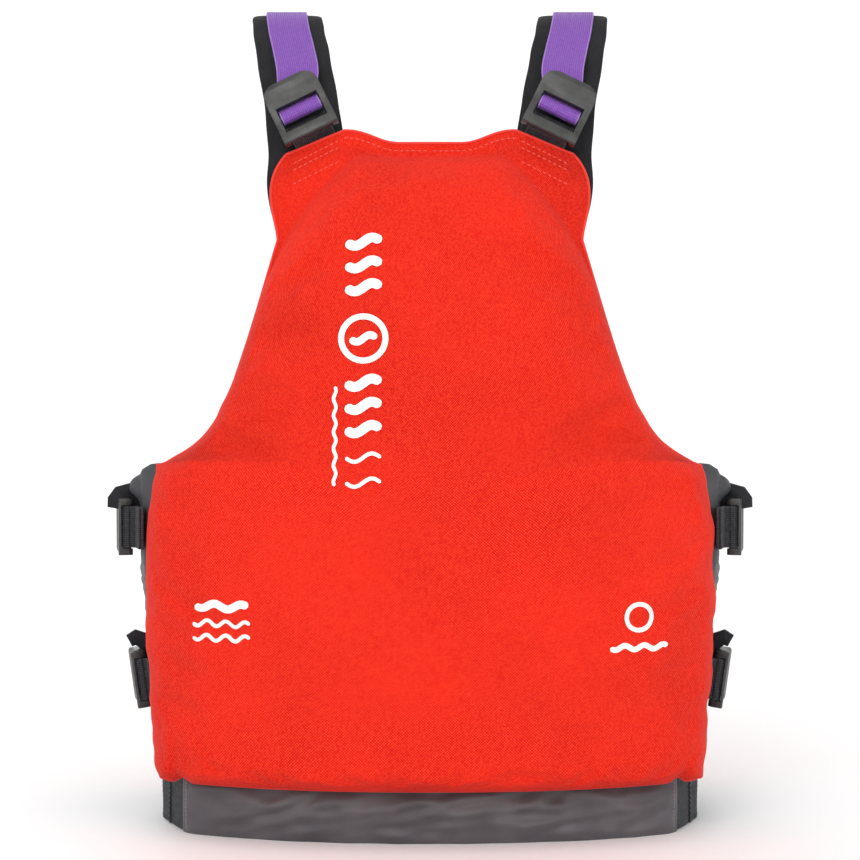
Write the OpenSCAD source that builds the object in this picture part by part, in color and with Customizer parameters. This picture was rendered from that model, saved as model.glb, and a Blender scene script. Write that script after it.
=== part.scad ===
// Paddling buoyancy vest with a full centre-front zip, as it stands closed on its hem.
// Frame: +Z up, the wearer faces -Y and the wearer's left is +X.
// The origin is the middle of the hem, in the plane that the hem rests on. Millimetres.

/* [Panels] */
// Half of the clear depth between the back and front panels, on the centre line
inner_half_depth = 94; // [86:1:100]
// How far each panel curves towards the wearer at its side edges
panel_bow = 40; // [34:1:46]
// How far the shoulders lean in over the wearer
top_lean = 22; // [14:1:28]
// Thickness of the foam pack with its covers
pack_t = 34; // [28:1:38]
// Thickness of the sewn edge of a panel
edge_t = 6; // [5:0.5:8]
// How far the sewn edge stands out from the wearer's side of the panel
edge_set = 8; // [6:1:10]
// Radius of the foam's rounded rim
rim_r = 26; // [20:1:32]
// Thickness of the outer and inner fabric, doubled where it is sewn
skin_t = 1.2; // [1:0.1:1.6]
// Height of the hem's elastic band
band_h = 35; // [30:1:35]

/* [Back panel] */
// Half of the back panel's width at its lower corners
back_half_w = 161; // [154:1:164]
// Height of the back panel's armhole corner
armpit_z = 219; // [210:1:228]
// Height of the neck edge of the back panel
neck_z = 404.5; // [398:0.5:408]

/* [Front panels] */
// Half of the gap between the two front panels, which the zip closes
zip_half_gap = 9; // [8:0.5:10]
// Height of the top of the zip
zip_top_z = 298; // [280:1:300]
// Half of the front's width at its lower corners
front_half_w = 154; // [148:1:156]

/* [Webbing] */
// Width of every webbing strap
web_w = 25; // [25:1:25]
// Thickness of the webbing
web_t = 1.6; // [1.4:0.1:1.8]
// Width of the shoulder pads
pad_w = 43; // [40:1:46]
// Thickness of the shoulder pads
pad_t = 5; // [4:0.5:6]
// Height of the top of the shoulder pads
shoulder_z = 497; // [490:1:500]
// Heights of the two side straps
side_strap_z = [88, 179];

/* [Buckles] */
// Outer width of a ladder-lock buckle
lock_w = 34; // [33:0.5:35]
// Length of a ladder-lock buckle
lock_l = 38; // [36:0.5:39]
// Length of the waist buckle's prongs
prong_l = 24; // [22:0.5:24]

/* [Hidden] */

red = [0.90, 0.12, 0.06];
black = [0.07, 0.07, 0.08];
plastic = [0.13, 0.13, 0.13];
grey = [0.30, 0.29, 0.31];
dark = [0.16, 0.17, 0.19];
purple = [0.50, 0.28, 0.68];
foam_white = [0.85, 0.85, 0.82];

$fn = 32;
fit_gap = 0.2;           // clearance between parts that lie on each other
run_gap = 0.08;          // clearance round a bar that turns
bow_exp = 2.4;           // how late a panel starts to curve
bow_half_w = 165;        // where the bow is measured
lean_end_z = 415;        // height at which the lean is measured
back_lean_z = 200;       // the back starts to lean in here
bottom_z = band_h + 1;   // lower edge of the foam panels

// ---------------------------------------------------------------- curves
function bez(p, t) =
    pow(1 - t, 3) * p[0] + 3 * pow(1 - t, 2) * t * p[1] + 3 * (1 - t) * t * t * p[2] + pow(t, 3) * p[3];
function mix(a, b, t) = a + (b - a) * t;
function clamp01(t) = min(1, max(0, t));
function smooth(t) = clamp01(t) * clamp01(t) * (3 - 2 * clamp01(t));
function unit(v) = v / norm(v);

// The wearer's side of a panel, as a depth from the XZ plane.
function base_depth(x, z, lean_z) =
    inner_half_depth
    - panel_bow * pow(abs(x) / bow_half_w, bow_exp)
    - top_lean * pow(max(0, (z - lean_z) / (lean_end_z - lean_z)), 2);

// ---------------------------------------------------------------- outlines, as (x, z)
armpit = [back_half_w + 1, armpit_z];
wing_root = [87, 350];
wing_tip = [82, neck_z - 7.5];
seam_top = [50, neck_z + 8];
neck_step = [18, neck_z];
armpit_t = 0.46;
wing_t = 0.88;

function back_side(t) =
    t < armpit_t
    ? bez([[back_half_w, bottom_z], [back_half_w + 6, 95], [back_half_w + 12, 155], armpit], t / armpit_t)
    : t < wing_t
    ? bez([armpit, [122, armpit_z + 3], [112, 268], wing_root], (t - armpit_t) / (wing_t - armpit_t))
    : bez([wing_root, [86, 362], [96, 378], wing_tip], (t - wing_t) / (1 - wing_t));
function back_top(s) =
    s < 0.2 ? [neck_step[0] * s / 0.2, neck_z]
    : s < 0.6 ? bez([neck_step, [30, neck_z], [36, seam_top[1]], seam_top], (s - 0.2) / 0.4)
    : mix(seam_top, wing_tip, (s - 0.6) / 0.4);
function back_inner(t) = [0, mix(bottom_z, neck_z, t)];
function back_bottom(s) = [back_half_w * s, bottom_z];

front_armpit = [front_half_w, 214];
front_shoulder_out = [97, 390];
front_shoulder_in = [57, 402];
front_armpit_t = 0.48;
zip_top_t = 0.71;

function front_side(t) =
    t < front_armpit_t
    ? bez([[front_half_w, bottom_z], [front_half_w + 7, 95], [front_half_w + 9, 155], front_armpit],
          t / front_armpit_t)
    : bez([front_armpit, [112, 218], [98, 270], front_shoulder_out],
          (t - front_armpit_t) / (1 - front_armpit_t));
function front_inner(t) =
    t < zip_top_t
    ? mix([zip_half_gap, bottom_z], [zip_half_gap, zip_top_z], t / zip_top_t)
    : bez([[zip_half_gap, zip_top_z], [34, 300], [52, 350], front_shoulder_in],
          (t - zip_top_t) / (1 - zip_top_t));
function front_top(s) = mix(front_shoulder_in, front_shoulder_out, s);
function front_bottom(s) = mix([zip_half_gap, bottom_z], [front_half_w, bottom_z], s);

// A Coons patch: the point at s across and t up, between four edge curves.
function patch(inner, outer, low, high, s, t) =
    mix(inner(t), outer(t), s) + mix(low(s), high(s), t)
    - mix(mix(inner(0), outer(0), s), mix(inner(1), outer(1), s), t);

back_point = function (s, t)
    let (p = patch(function (a) back_inner(a), function (a) back_side(a),
                   function (a) back_bottom(a), function (a) back_top(a), abs(s), t))
    [s < 0 ? -p[0] : p[0], p[1]];
front_point = function (s, t)
    patch(function (a) front_inner(a), function (a) front_side(a),
          function (a) front_bottom(a), function (a) front_top(a), s, t);

// ---------------------------------------------------------------- foam packs
rim_steps = 12;
back_rim = concat(
    [for (i = [0:rim_steps]) back_point(1, i / rim_steps)],
    [for (i = [1:rim_steps]) back_top(1 - i / rim_steps)]);
front_rim = concat(
    [for (i = [0:rim_steps]) front_point(0, i / rim_steps)],
    [for (i = [0:rim_steps]) front_point(1, 1 - i / rim_steps)]);

function to_segment(p, a, b) =
    let (along = clamp01((p - a) * (b - a) / max(1e-9, (b - a) * (b - a))))
    norm(p - mix(a, b, along));
function to_line(p, line) = min([for (i = [1:len(line) - 1]) to_segment(p, line[i - 1], line[i])]);

// The back's foam stops below the flat shoulder wings, along a slope on each side.
foam_top_z = neck_z - 14.5;
foam_top_half = 38;
foam_slope = 1.3;
function below_wings(x, z) =
    (foam_top_z - foam_slope * max(0, abs(x) - foam_top_half) - z) / norm([1, foam_slope]);
front_foam_top_z = 372;

function back_rim_distance(p) =
    max(0, min(to_line([abs(p[0]), p[1]], back_rim), p[1] - bottom_z, below_wings(p[0], p[1])));
function front_rim_distance(p) =
    max(0, min(to_line(p, front_rim), p[1] - bottom_z, front_foam_top_z - p[1]));

// 0 at the sewn edge, 1 on the flat of the pack, a quarter circle between them.
function rise(d) = sqrt(1 - pow(1 - clamp01(d / rim_r), 2));
function inner_depth(base, d) = base + edge_set * (1 - rise(d));
function outer_depth(base, d) = base + edge_set + edge_t + (pack_t - edge_set - edge_t) * rise(d);

// The grid's columns and rows: closer together near the edges, and on the outline's corners.
half_columns = [0, 0.22, 0.44, 0.64, 0.8, 0.91, 1];
back_columns = concat([for (i = [6:-1:1]) -half_columns[i]], half_columns);
front_columns = [0, 0.07, 0.17, 0.34, 0.52, 0.7, 0.84, 0.94, 1];
back_rows = [0, 0.03, 0.08, 0.18, 0.3, 0.4, armpit_t, 0.52, 0.6, 0.7, 0.8, wing_t, 0.94, 1];
front_rows = [0, 0.03, 0.08, 0.18, 0.3, 0.4, front_armpit_t, 0.54, 0.62, zip_top_t, 0.8, 0.9, 1];

// A closed solid between two grids of the same size, near and far, each a list of rows.
module between(near, far) {
    rows = len(near);
    columns = len(near[0]);
    half = rows * columns;
    function at(layer, j, i) = layer * half + j * columns + i;
    function quad(a, b, c, d) = [[a, b, c], [a, c, d]];
    rim = concat(
        [for (i = [0:columns - 1]) [0, i]],
        [for (j = [1:rows - 1]) [j, columns - 1]],
        [for (i = [columns - 2:-1:0]) [rows - 1, i]],
        [for (j = [rows - 2:-1:1]) [j, 0]]);
    polyhedron(
        points = concat([for (row = near, p = row) p], [for (row = far, p = row) p]),
        faces = concat(
            [for (j = [0:rows - 2], i = [0:columns - 2], f = quad(
                at(0, j, i), at(0, j, i + 1), at(0, j + 1, i + 1), at(0, j + 1, i))) f],
            [for (j = [0:rows - 2], i = [0:columns - 2], f = quad(
                at(1, j, i), at(1, j + 1, i), at(1, j + 1, i + 1), at(1, j, i + 1))) f],
            [for (k = [0:len(rim) - 1], a = [rim[k]], b = [rim[(k + 1) % len(rim)]], f = quad(
                at(0, b[0], b[1]), at(0, a[0], a[1]), at(1, a[0], a[1]), at(1, b[0], b[1]))) f]),
        convexity = 6);
}

// One layer of a panel. low and high give its two depths at a grid point. A trimmed layer
// leaves out the outermost ring of the grid, and one more row at the top.
module layer(point, distance, columns, rows, lean_z, low, high, trim) {
    function grid(depth) = [
        for (j = [trim:len(rows) - 1 - 2 * trim]) [
            for (i = [trim:len(columns) - 1 - trim])
            let (p = point(columns[i], rows[j]),
                 rim = i == 0 || j == 0 || i == len(columns) - 1 || j == len(rows) - 1)
            [p[0], depth(base_depth(p[0], p[1], lean_z), distance(p), rim), p[1]]]];
    between(grid(low), grid(high));
}

liner_low = function (base, d, rim) inner_depth(base, d);
liner_high = function (base, d, rim) inner_depth(base, d) + skin_t;
foam_low = function (base, d, rim) inner_depth(base, d) + skin_t + fit_gap;
foam_high = function (base, d, rim) outer_depth(base, d) - skin_t - fit_gap;
cover_low = function (base, d, rim)
    rim ? inner_depth(base, d) + skin_t + fit_gap / 2 : outer_depth(base, d) - skin_t;
cover_high = function (base, d, rim) outer_depth(base, d);

module back_layer(low, high, trim = 0)
    layer(back_point, function (p) back_rim_distance(p), back_columns, back_rows, back_lean_z,
          low, high, trim);
module front_layer(low, high, trim = 0)
    mirror([0, 1, 0])
    layer(front_point, function (p) front_rim_distance(p), front_columns, front_rows, zip_top_z,
          low, high, trim);

module back_cover() { color(red) back_layer(cover_low, cover_high); }
module back_foam() { color(foam_white) back_layer(foam_low, foam_high, 1); }
module back_liner() { color(dark) back_layer(liner_low, liner_high); }
module front_cover() { color(red) front_layer(cover_low, cover_high); }
module front_foam() { color(foam_white) front_layer(foam_low, foam_high, 1); }
module front_liner() { color(dark) front_layer(liner_low, liner_high); }

// ---------------------------------------------------------------- webbing
// A flat strip along a list of [centre, width direction, outward direction]. It is w wide and
// its thickness runs from low to high along the outward direction.
module strip(stations, w, low, high) {
    between(
        [for (s = stations) [for (e = [-w / 2, w / 2]) s[0] + e * s[1] + low * s[2]]],
        [for (s = stations) [for (e = [-w / 2, w / 2]) s[0] + e * s[1] + high * s[2]]]);
}

// Draws in a frame at origin whose x, y and z run along the three given directions.
module in_frame(origin, x, y, z) {
    multmatrix([for (i = [0:2]) [x[i], y[i], z[i], origin[i]]]) children();
}
module other_side() { mirror([1, 0, 0]) children(); }

// ---------------------------------------------------------------- ladder-lock buckle
// The lock's bar, about which it tilts, lies along x at the origin. The strap enters from +y
// and z points away from the wearer.
bar_r = 2.2;             // the thick bar at the tab's end
bar_end = 3.6;           // from the bar's axis to the rounded ends of the rails
rail_w = 3.8;
wrap_bar_y = 13;         // the bar that the strap is wound round
wrap_bar_r = 1.8;
lever_y = 20;            // where the solid lever starts
lock_half_t = 2.3;
lever_rise = 3.2;        // how far the lever's end turns up
corner_r = 9;
loop_wall = 1.4;
loop_r = bar_r + run_gap + loop_wall;
lock_stand = 6.5;        // the bar's axis, above the underside of the tab
// The plate in front of the bar, which the tab's loop passes behind.
plate_span = [-3.4, 2.8];
plate_low = loop_r + 0.3;
plate_high = plate_low + 1.4;

module lock_outline() {
    end_y = lock_l - bar_end;
    union() {
        translate([-lock_w / 2, -bar_end]) square([lock_w, lock_l - corner_r]);
        translate([corner_r - lock_w / 2, 0]) square([lock_w - 2 * corner_r, end_y]);
        for (side = [-1, 1])
            translate([side * (lock_w / 2 - corner_r), end_y - corner_r]) circle(corner_r);
    }
}
// The rails and the lever seen from the side: flat, then turning up at the end.
module lock_profile() {
    end_y = lock_l - bar_end;
    union() {
        circle(bar_end - 0.4);
        polygon([
            [plate_span[0], 0], [plate_span[0], plate_high - 0.8], [plate_span[0] + 0.8, plate_high],
            [plate_span[1], plate_high], [plate_span[1] + 5, lock_half_t], [plate_span[1] + 5, 0]]);
        polygon([
            [0, -lock_half_t], [lever_y, -lock_half_t], [end_y - 8, -lock_half_t + 0.8],
            [end_y, -lock_half_t + lever_rise], [end_y, lock_half_t + lever_rise - 1.4],
            [end_y - 3, lock_half_t + lever_rise - 0.6], [end_y - 9, lock_half_t + 1.2],
            [lever_y - 4, lock_half_t], [0, lock_half_t]]);
    }
}
module ladder_lock() {
    color(plastic) union() {
        intersection() {
            difference() {
                translate([0, 0, -10]) linear_extrude(20) lock_outline();
                translate([-lock_w / 2 + rail_w, plate_span[1], -11])
                    cube([lock_w - 2 * rail_w, lever_y - plate_span[1], 22]);
                translate([-lock_w / 2 + rail_w, -bar_end - 1, -11])
                    cube([lock_w - 2 * rail_w, bar_end + 2 + plate_span[1], 11 + plate_low]);
            }
            translate([-lock_w, 0, 0]) rotate([90, 0, 90]) linear_extrude(2 * lock_w) lock_profile();
        }
        for (bar = [[0, bar_r], [wrap_bar_y, wrap_bar_r]])
            translate([-lock_w / 2 + rail_w / 2, bar[0], 0])
                rotate([0, 90, 0]) cylinder(r = bar[1], h = lock_w - rail_w);
    }
}
// The fixed webbing: a flat tail sewn to the panel, and its loop round the lock's bar.
module lock_tab(tail_l) {
    color(black) difference() {
        union() {
            translate([-web_w / 2, 0, 0]) rotate([0, 90, 0]) cylinder(r = loop_r, h = web_w);
            translate([-web_w / 2, -loop_r, -lock_stand]) cube([web_w, loop_r, lock_stand]);
            translate([-web_w / 2, -tail_l, -lock_stand]) cube([web_w, tail_l, web_t]);
        }
        translate([-web_w / 2 - 1, 0, 0])
            rotate([0, 90, 0]) cylinder(r = bar_r + run_gap, h = web_w + 2);
    }
}

// ---------------------------------------------------------------- sides
hem_half_w = 166;
chest_half_w = 181;
side_bow = 18;
side_bow_at = 84;
side_ends = [56, -58];   // where the sides meet the back and the front, as depths
// Half width of the vest's side at depth y and height z, and its outward direction in plan.
function side_x(y, z) =
    mix(hem_half_w, chest_half_w, smooth((z - 25) / 150)) - side_bow * pow(y / side_bow_at, 2);
function side_out(y) = unit([1, 2 * side_bow * y / pow(side_bow_at, 2), 0]);

side_y = [for (i = [0:6]) mix(side_ends[0], side_ends[1], i / 6)];
side_panel_z = [42, 66, 94, 122, 150, 180, 206];
side_panel_t = 1.6;
side_lift = 0.6;         // clearance between the side fabric and the straps
side_lock_y = 44;        // depth of the side ladder-locks' bars

module side_panel() {
    // The top row dips between its two ends at the armhole.
    function row(z, out) = [for (y = side_y)
        [side_x(y, z) + out, y, z - 14 * smooth((z - 150) / 56) * (1 - pow(y / side_y[0], 2))]];
    color(dark) between([for (z = side_panel_z) row(z, -side_panel_t)],
                        [for (z = side_panel_z) row(z, 0)]);
}
// The side's upward, forward and outward directions, where webbing lies on it.
function side_axes(y, z) =
    let (up = unit([side_x(y, z + web_w / 2) - side_x(y, z - web_w / 2), 0, web_w]),
         out = side_out(y), forward = unit([out[1], -out[0], 0]), face = unit(cross(up, forward)))
    [cross(forward, face), forward, face];
module side_strap(z) {
    color(black) strip(
        [for (y = [28, 14, 0, -16, -32, -46, side_ends[1]])
            let (axes = side_axes(y, z)) [[side_x(y, z), y, z], axes[0], axes[2]]],
        web_w, side_lift, side_lift + web_t);
}
module on_side(z) {
    axes = side_axes(side_lock_y, z);
    in_frame([side_x(side_lock_y, z), side_lock_y, z] + (side_lift + lock_stand) * axes[2],
             axes[0], axes[1], axes[2])
        children();
}
module side_tab(z) { on_side(z) lock_tab(15); }
module side_lock(z) { on_side(z) ladder_lock(); }

// ---------------------------------------------------------------- shoulders
arch_half = 69;          // half of the pads' clear span, front to back
arch_z = 400;            // height at which the arch starts
arch_top_x = 87;
back_foot_x = 68;
front_foot_x = 77;
pad_tail = 15;           // length of the pads behind the panels
// A point of the pad's underside at angle a: 0 at the back, 90 on top, 180 at the front.
function arch_point(a) =
    let (foot_x = a < 90 ? back_foot_x : front_foot_x)
    [mix(foot_x, arch_top_x, 1 - pow(1 - sin(a), 2)), arch_half * cos(a),
     arch_z + (shoulder_z - pad_t - arch_z) * sin(a)];
function arch_station(a) =
    let (out = unit([0, (shoulder_z - pad_t - arch_z) * cos(a), arch_half * sin(a)]),
         along = unit(arch_point(min(180, a + 2)) - arch_point(max(0, a - 2))),
         across = unit(cross(out, along)))
    [arch_point(a), across, cross(along, across)];
function arch_tail(a, lean) =
    let (s = arch_station(a))
    [s[0] + pad_tail * unit([0, lean * (a < 90 ? 1 : -1), -1]), s[1], s[2]];

module shoulder_pad() {
    color(black) strip(
        concat([arch_tail(0, 0.19)], [for (a = [0:15:180]) arch_station(a)], [arch_tail(180, 0.2)]),
        pad_w, 0, pad_t);
}
module shoulder_strap() {
    color(purple) strip(
        concat([for (a = [15:15:180]) arch_station(a)], [arch_tail(180, 0.2)]),
        web_w, pad_t + side_lift, pad_t + side_lift + web_t);
}
wing_angle = atan2(seam_top[1] - wing_tip[1], wing_tip[0] - seam_top[0]);
shoulder_lean = 13;
module on_shoulder() {
    along = [sin(wing_angle) * cos(shoulder_lean), -sin(shoulder_lean), cos(wing_angle) * cos(shoulder_lean)];
    across = unit(cross(along, [0, 1, 0]));
    in_frame([69.7, 86, neck_z + 8], across, along, cross(across, along)) children();
}
module shoulder_tab() { on_shoulder() lock_tab(7.2); }
module shoulder_lock() { on_shoulder() ladder_lock(); }

// ---------------------------------------------------------------- hem
hem_x = [0, 40, 80, 110, 135, 155];
function hem_row(list, z, out) = [for (x = list) [x, base_depth(x, 0, zip_top_z) + edge_set + out, z]];
module hem(list, low, high, z0, z1) {
    between([for (z = [z0, z1]) hem_row(list, z, low)], [for (z = [z0, z1]) hem_row(list, z, high)]);
}
back_hem_x = concat([for (i = [5:-1:1]) -hem_x[i]], hem_x);
sleeve_hem_x = concat([for (i = [4:-1:1]) -hem_x[i]], [for (i = [0:4]) hem_x[i]]);
elastic_t = 2;
module waist_sleeve() { color(grey) hem(sleeve_hem_x, elastic_t + fit_gap, edge_t, 0, band_h); }
module waist_elastic_back() { color(dark) hem(back_hem_x, 0, elastic_t, 1, band_h - 1); }
module waist_elastic() {
    function row(z, out) = [for (y = [64, 56, 40, 20, 0, -20, -40, -58, -66]) [side_x(y, 17) + out, y, z]];
    color(dark) between([for (z = [1, band_h - 1]) row(z, -elastic_t)],
                        [for (z = [1, band_h - 1]) row(z, 0)]);
}
band_end_x = 46;
module waist_band() {
    color(grey) mirror([0, 1, 0]) hem([band_end_x, 64, 84, 110, 134, 152], 0, 4, 0, band_h);
}
module waist_belt() {
    color(black) mirror([0, 1, 0])
        hem([42, 56, 72, 90, 104], 4 + side_lift, 4 + side_lift + web_t,
            (band_h - web_w) / 2, (band_h + web_w) / 2);
}

// ---------------------------------------------------------------- waist buckle
// Both halves point along x in the plane y = -buckle_y, and are open at rest.
buckle_y = inner_half_depth + 13;
buckle_z = band_h / 2;
buckle_half_h = 15.5;
buckle_half_t = 4.5;
mouth_x = 4;
socket_l = 27;
wall = 1.7;
bar_frame_l = 9;

module waist_buckle_socket() {
    color(plastic) translate([mouth_x, -buckle_y, buckle_z]) difference() {
        union() {
            translate([0, -buckle_half_t, -buckle_half_h])
                cube([socket_l, 2 * buckle_half_t, 2 * buckle_half_h]);
            translate([socket_l - 1, -2.5, -buckle_half_h])
                cube([bar_frame_l + 1, 5, 2 * buckle_half_h]);
        }
        translate([-1, wall - buckle_half_t, wall - buckle_half_h])
            cube([socket_l - 1, 2 * (buckle_half_t - wall), 2 * (buckle_half_h - wall)]);
        for (side = [-1, 1])
            translate([8, -buckle_half_t + wall, side * buckle_half_h - 3])
                cube([12, 2 * (buckle_half_t - wall), 6]);
        translate([socket_l + 1.5, -5, -web_w / 2 - 0.3]) cube([3.5, 10, web_w + 0.6]);
    }
}
module waist_buckle_plug() {
    base_x = mouth_x - 2 - prong_l;
    color(plastic) translate([base_x, -buckle_y, buckle_z]) difference() {
        union() {
            translate([-14, -4, -buckle_half_h]) cube([14, 8, 2 * buckle_half_h]);
            for (side = [-1, 1]) {
                translate([-1, -2.2, side * 9.5 - 1.7]) cube([prong_l - 1, 4.4, 3.4]);
                translate([prong_l - 13, -2.2, side * 11 - 2.2]) cube([10, 4.4, 4.4]);
            }
            translate([-1, -1.6, -2.5]) cube([prong_l - 5, 3.2, 5]);
            translate([prong_l - 4, -2.2, -11.2]) cube([4, 4.4, 22.4]);
        }
        translate([-10.5, -5, -web_w / 2 - 0.3]) cube([3.5, 10, web_w + 0.6]);
    }
}

// ---------------------------------------------------------------- zip
zip_y = inner_half_depth + edge_set + edge_t / 2;
zip_low_z = 40;
teeth_top_z = zip_top_z - 14;
tape_t = 0.8;
teeth_x = [0.8, 3.2];
teeth_half_t = 1.3;
post_half = 0.5;
slider_l = 14;
slider_z = teeth_top_z + 1;
slider_low_z = 60;
slider_half_w = 5.6;
plate_t = 1.2;
plate_y = teeth_half_t + 0.35;
pin_r = 1;
ear_y = plate_y + plate_t + 2.1;   // the pull's axis, in front of the zip

// A box from its two x, two y and two z limits.
module box(x, y, z) { translate([x[0], y[0], z[0]]) cube([x[1] - x[0], y[1] - y[0], z[1] - z[0]]); }

module zip_tape() {
    color(black) box([teeth_x[1] - 0.6, zip_half_gap - 0.1], [-zip_y - tape_t / 2, -zip_y + tape_t / 2],
                     [zip_low_z + 8 + fit_gap, teeth_top_z]);
}
module zip_teeth() {
    color(plastic) box([teeth_x[0], teeth_x[1] - 0.7], [-zip_y - teeth_half_t, -zip_y + teeth_half_t],
                       [slider_low_z - 2, teeth_top_z]);
}
module zip_box() {
    color(plastic) box([0.4, 5], [-zip_y - 2, -zip_y + 2], [zip_low_z - 3, zip_low_z + 8]);
}
module zip_pin() {
    color(plastic) box([-teeth_x[1] + 0.7, -teeth_x[0]], [-zip_y - 1.2, -zip_y + 1.2],
                       [zip_low_z - 3, slider_low_z - 3]);
}
module zip_slider() {
    // Two plates with flanges that turn in towards the tape, a post between them, and two ears
    // that hold the pull's pin.
    plate_mid = plate_y + plate_t / 2;
    flange_mid = slider_half_w - 0.5;
    color(plastic) translate([0, -zip_y, slider_z]) union() {
        for (side = [-1, 1]) {
            box([-slider_half_w, slider_half_w],
                [side * plate_mid - plate_t / 2, side * plate_mid + plate_t / 2], [0, slider_l]);
            for (face = [-1, 1])
                box([side * flange_mid - 0.5, side * flange_mid + 0.5],
                    [face * 1.3 - 0.5, face * 1.3 + 0.5], [0, slider_l]);
            box([side * 3.4 - 0.6, side * 3.4 + 0.6], [-ear_y - 1.6, -plate_mid], [7, 11]);
        }
        box([-post_half, post_half], [-plate_mid, plate_mid], [slider_l - 4, slider_l]);
        translate([-3.4, -ear_y, 9]) rotate([0, 90, 0]) cylinder(r = pin_r, h = 6.8);
    }
}
module zip_pull() {
    color(plastic) translate([0, -zip_y - ear_y, slider_z + 9]) difference() {
        union() {
            translate([-2.6, 0, 0]) rotate([0, 90, 0]) cylinder(r = 1.75, h = 5.2);
            box([-2.6, 2.6], [-0.9, 0.9], [-8, -0.5]);
            box([-3.8, 3.8], [-0.9, 0.9], [-24, -7]);
        }
        translate([-4, 0, 0]) rotate([0, 90, 0]) cylinder(r = pin_r + run_gap, h = 8);
        box([-1.8, 1.8], [-2, 2], [-21, -16]);
    }
}

back_cover();
back_foam();
back_liner();
waist_sleeve();
waist_elastic_back();
waist_elastic();  // waist_elastic_left
other_side() waist_elastic();  // waist_elastic_right
side_panel();  // side_panel_left
other_side() side_panel();  // side_panel_right
shoulder_pad();  // shoulder_pad_left
other_side() shoulder_pad();  // shoulder_pad_right
shoulder_strap();  // shoulder_strap_left
other_side() shoulder_strap();  // shoulder_strap_right
shoulder_tab();  // shoulder_tab_left
other_side() shoulder_tab();  // shoulder_tab_right
shoulder_lock();  // shoulder_lock_left
other_side() shoulder_lock();  // shoulder_lock_right
side_tab(side_strap_z[0]);  // side_tab_lower_left
side_tab(side_strap_z[1]);  // side_tab_upper_left
other_side() side_tab(side_strap_z[0]);  // side_tab_lower_right
other_side() side_tab(side_strap_z[1]);  // side_tab_upper_right
side_lock(side_strap_z[0]);  // side_lock_lower_left
side_lock(side_strap_z[1]);  // side_lock_upper_left
other_side() side_lock(side_strap_z[0]);  // side_lock_lower_right
other_side() side_lock(side_strap_z[1]);  // side_lock_upper_right
side_strap(side_strap_z[0]);  // side_strap_lower_left
side_strap(side_strap_z[1]);  // side_strap_upper_left
other_side() side_strap(side_strap_z[0]);  // side_strap_lower_right
other_side() side_strap(side_strap_z[1]);  // side_strap_upper_right
front_cover();  // front_cover_left
other_side() front_cover();  // front_cover_right
front_foam();  // front_foam_left
other_side() front_foam();  // front_foam_right
front_liner();  // front_liner_left
other_side() front_liner();  // front_liner_right
zip_tape();  // zip_tape_left
other_side() zip_tape();  // zip_tape_right
zip_teeth();  // zip_teeth_left
other_side() zip_teeth();  // zip_teeth_right
waist_band();  // waist_band_left
other_side() waist_band();  // waist_band_right
waist_belt();  // waist_belt_left
other_side() waist_belt();  // waist_belt_right
zip_box();
zip_pin();
zip_slider();
zip_pull();
waist_buckle_socket();
waist_buckle_plug();
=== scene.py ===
import math

import bmesh
import bpy
import numpy as np
from mathutils import Matrix, Vector, noise
from mathutils.bvhtree import BVHTree


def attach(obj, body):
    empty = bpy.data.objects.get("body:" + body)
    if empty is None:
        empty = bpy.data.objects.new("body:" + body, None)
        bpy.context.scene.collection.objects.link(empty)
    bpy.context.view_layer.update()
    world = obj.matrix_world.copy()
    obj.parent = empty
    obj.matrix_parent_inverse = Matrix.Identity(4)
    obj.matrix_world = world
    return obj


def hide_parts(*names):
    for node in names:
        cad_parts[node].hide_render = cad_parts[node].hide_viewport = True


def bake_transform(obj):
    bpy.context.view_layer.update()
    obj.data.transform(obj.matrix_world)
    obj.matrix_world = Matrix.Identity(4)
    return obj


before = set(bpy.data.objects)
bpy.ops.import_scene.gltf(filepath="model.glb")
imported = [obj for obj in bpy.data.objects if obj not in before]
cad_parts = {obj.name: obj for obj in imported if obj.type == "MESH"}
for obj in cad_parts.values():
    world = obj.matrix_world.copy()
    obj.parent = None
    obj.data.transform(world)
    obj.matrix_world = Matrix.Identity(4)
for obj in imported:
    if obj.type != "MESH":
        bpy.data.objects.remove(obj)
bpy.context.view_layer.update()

MM = 0.001
SIDES = {"left": 1, "right": -1}      # the wearer's sides: left is +X


# ---------------------------------------------------------------- small tools
def mix(a, b, t):
    return a + (b - a) * t


def smooth(t):
    t = np.clip(t, 0, 1)
    return t * t * (3 - 2 * t)


def unit(v):
    v = np.asarray(v, float)
    return v / max(1e-9, np.linalg.norm(v))


def bez(points, t):
    a, b, c, d = (np.array(p, float) for p in points)
    return (1 - t) ** 3 * a + 3 * (1 - t) ** 2 * t * b + 3 * (1 - t) * t * t * c + t ** 3 * d


def wobble(x, y, z=0.0):
    """A smooth random value from -1 to 1 that is the same on every run."""
    return noise.noise(Vector((x, y, z)))


def run_length(line):
    """Distance along a line of points, from its start to each of them."""
    return np.concatenate([[0], np.cumsum(np.linalg.norm(np.diff(line, axis=0), axis=1))])


def lengths(grid, axis):
    """Distance along the middle row or column of a grid of points."""
    return run_length(grid[len(grid) // 2] if axis else grid[:, grid.shape[1] // 2])


def make(name, points, faces, uvs=None, flat=False):
    """A mesh object from points in millimetres. uvs holds one (u, v) in millimetres for each point."""
    mesh = bpy.data.meshes.new(name)
    mesh.from_pydata([tuple(float(c) * MM for c in p) for p in points], [], faces)
    if uvs is not None:
        layer = mesh.uv_layers.new(name="UVMap")
        index = np.zeros(len(mesh.loops), int)
        mesh.loops.foreach_get("vertex_index", index)
        layer.data.foreach_set("uv", (np.asarray(uvs, float)[index] * MM).ravel())
    mesh.validate()
    if not flat:
        mesh.polygons.foreach_set("use_smooth", [True] * len(mesh.polygons))
    piece = bpy.data.objects.new(name, mesh)
    bpy.context.scene.collection.objects.link(piece)
    return piece


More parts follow.
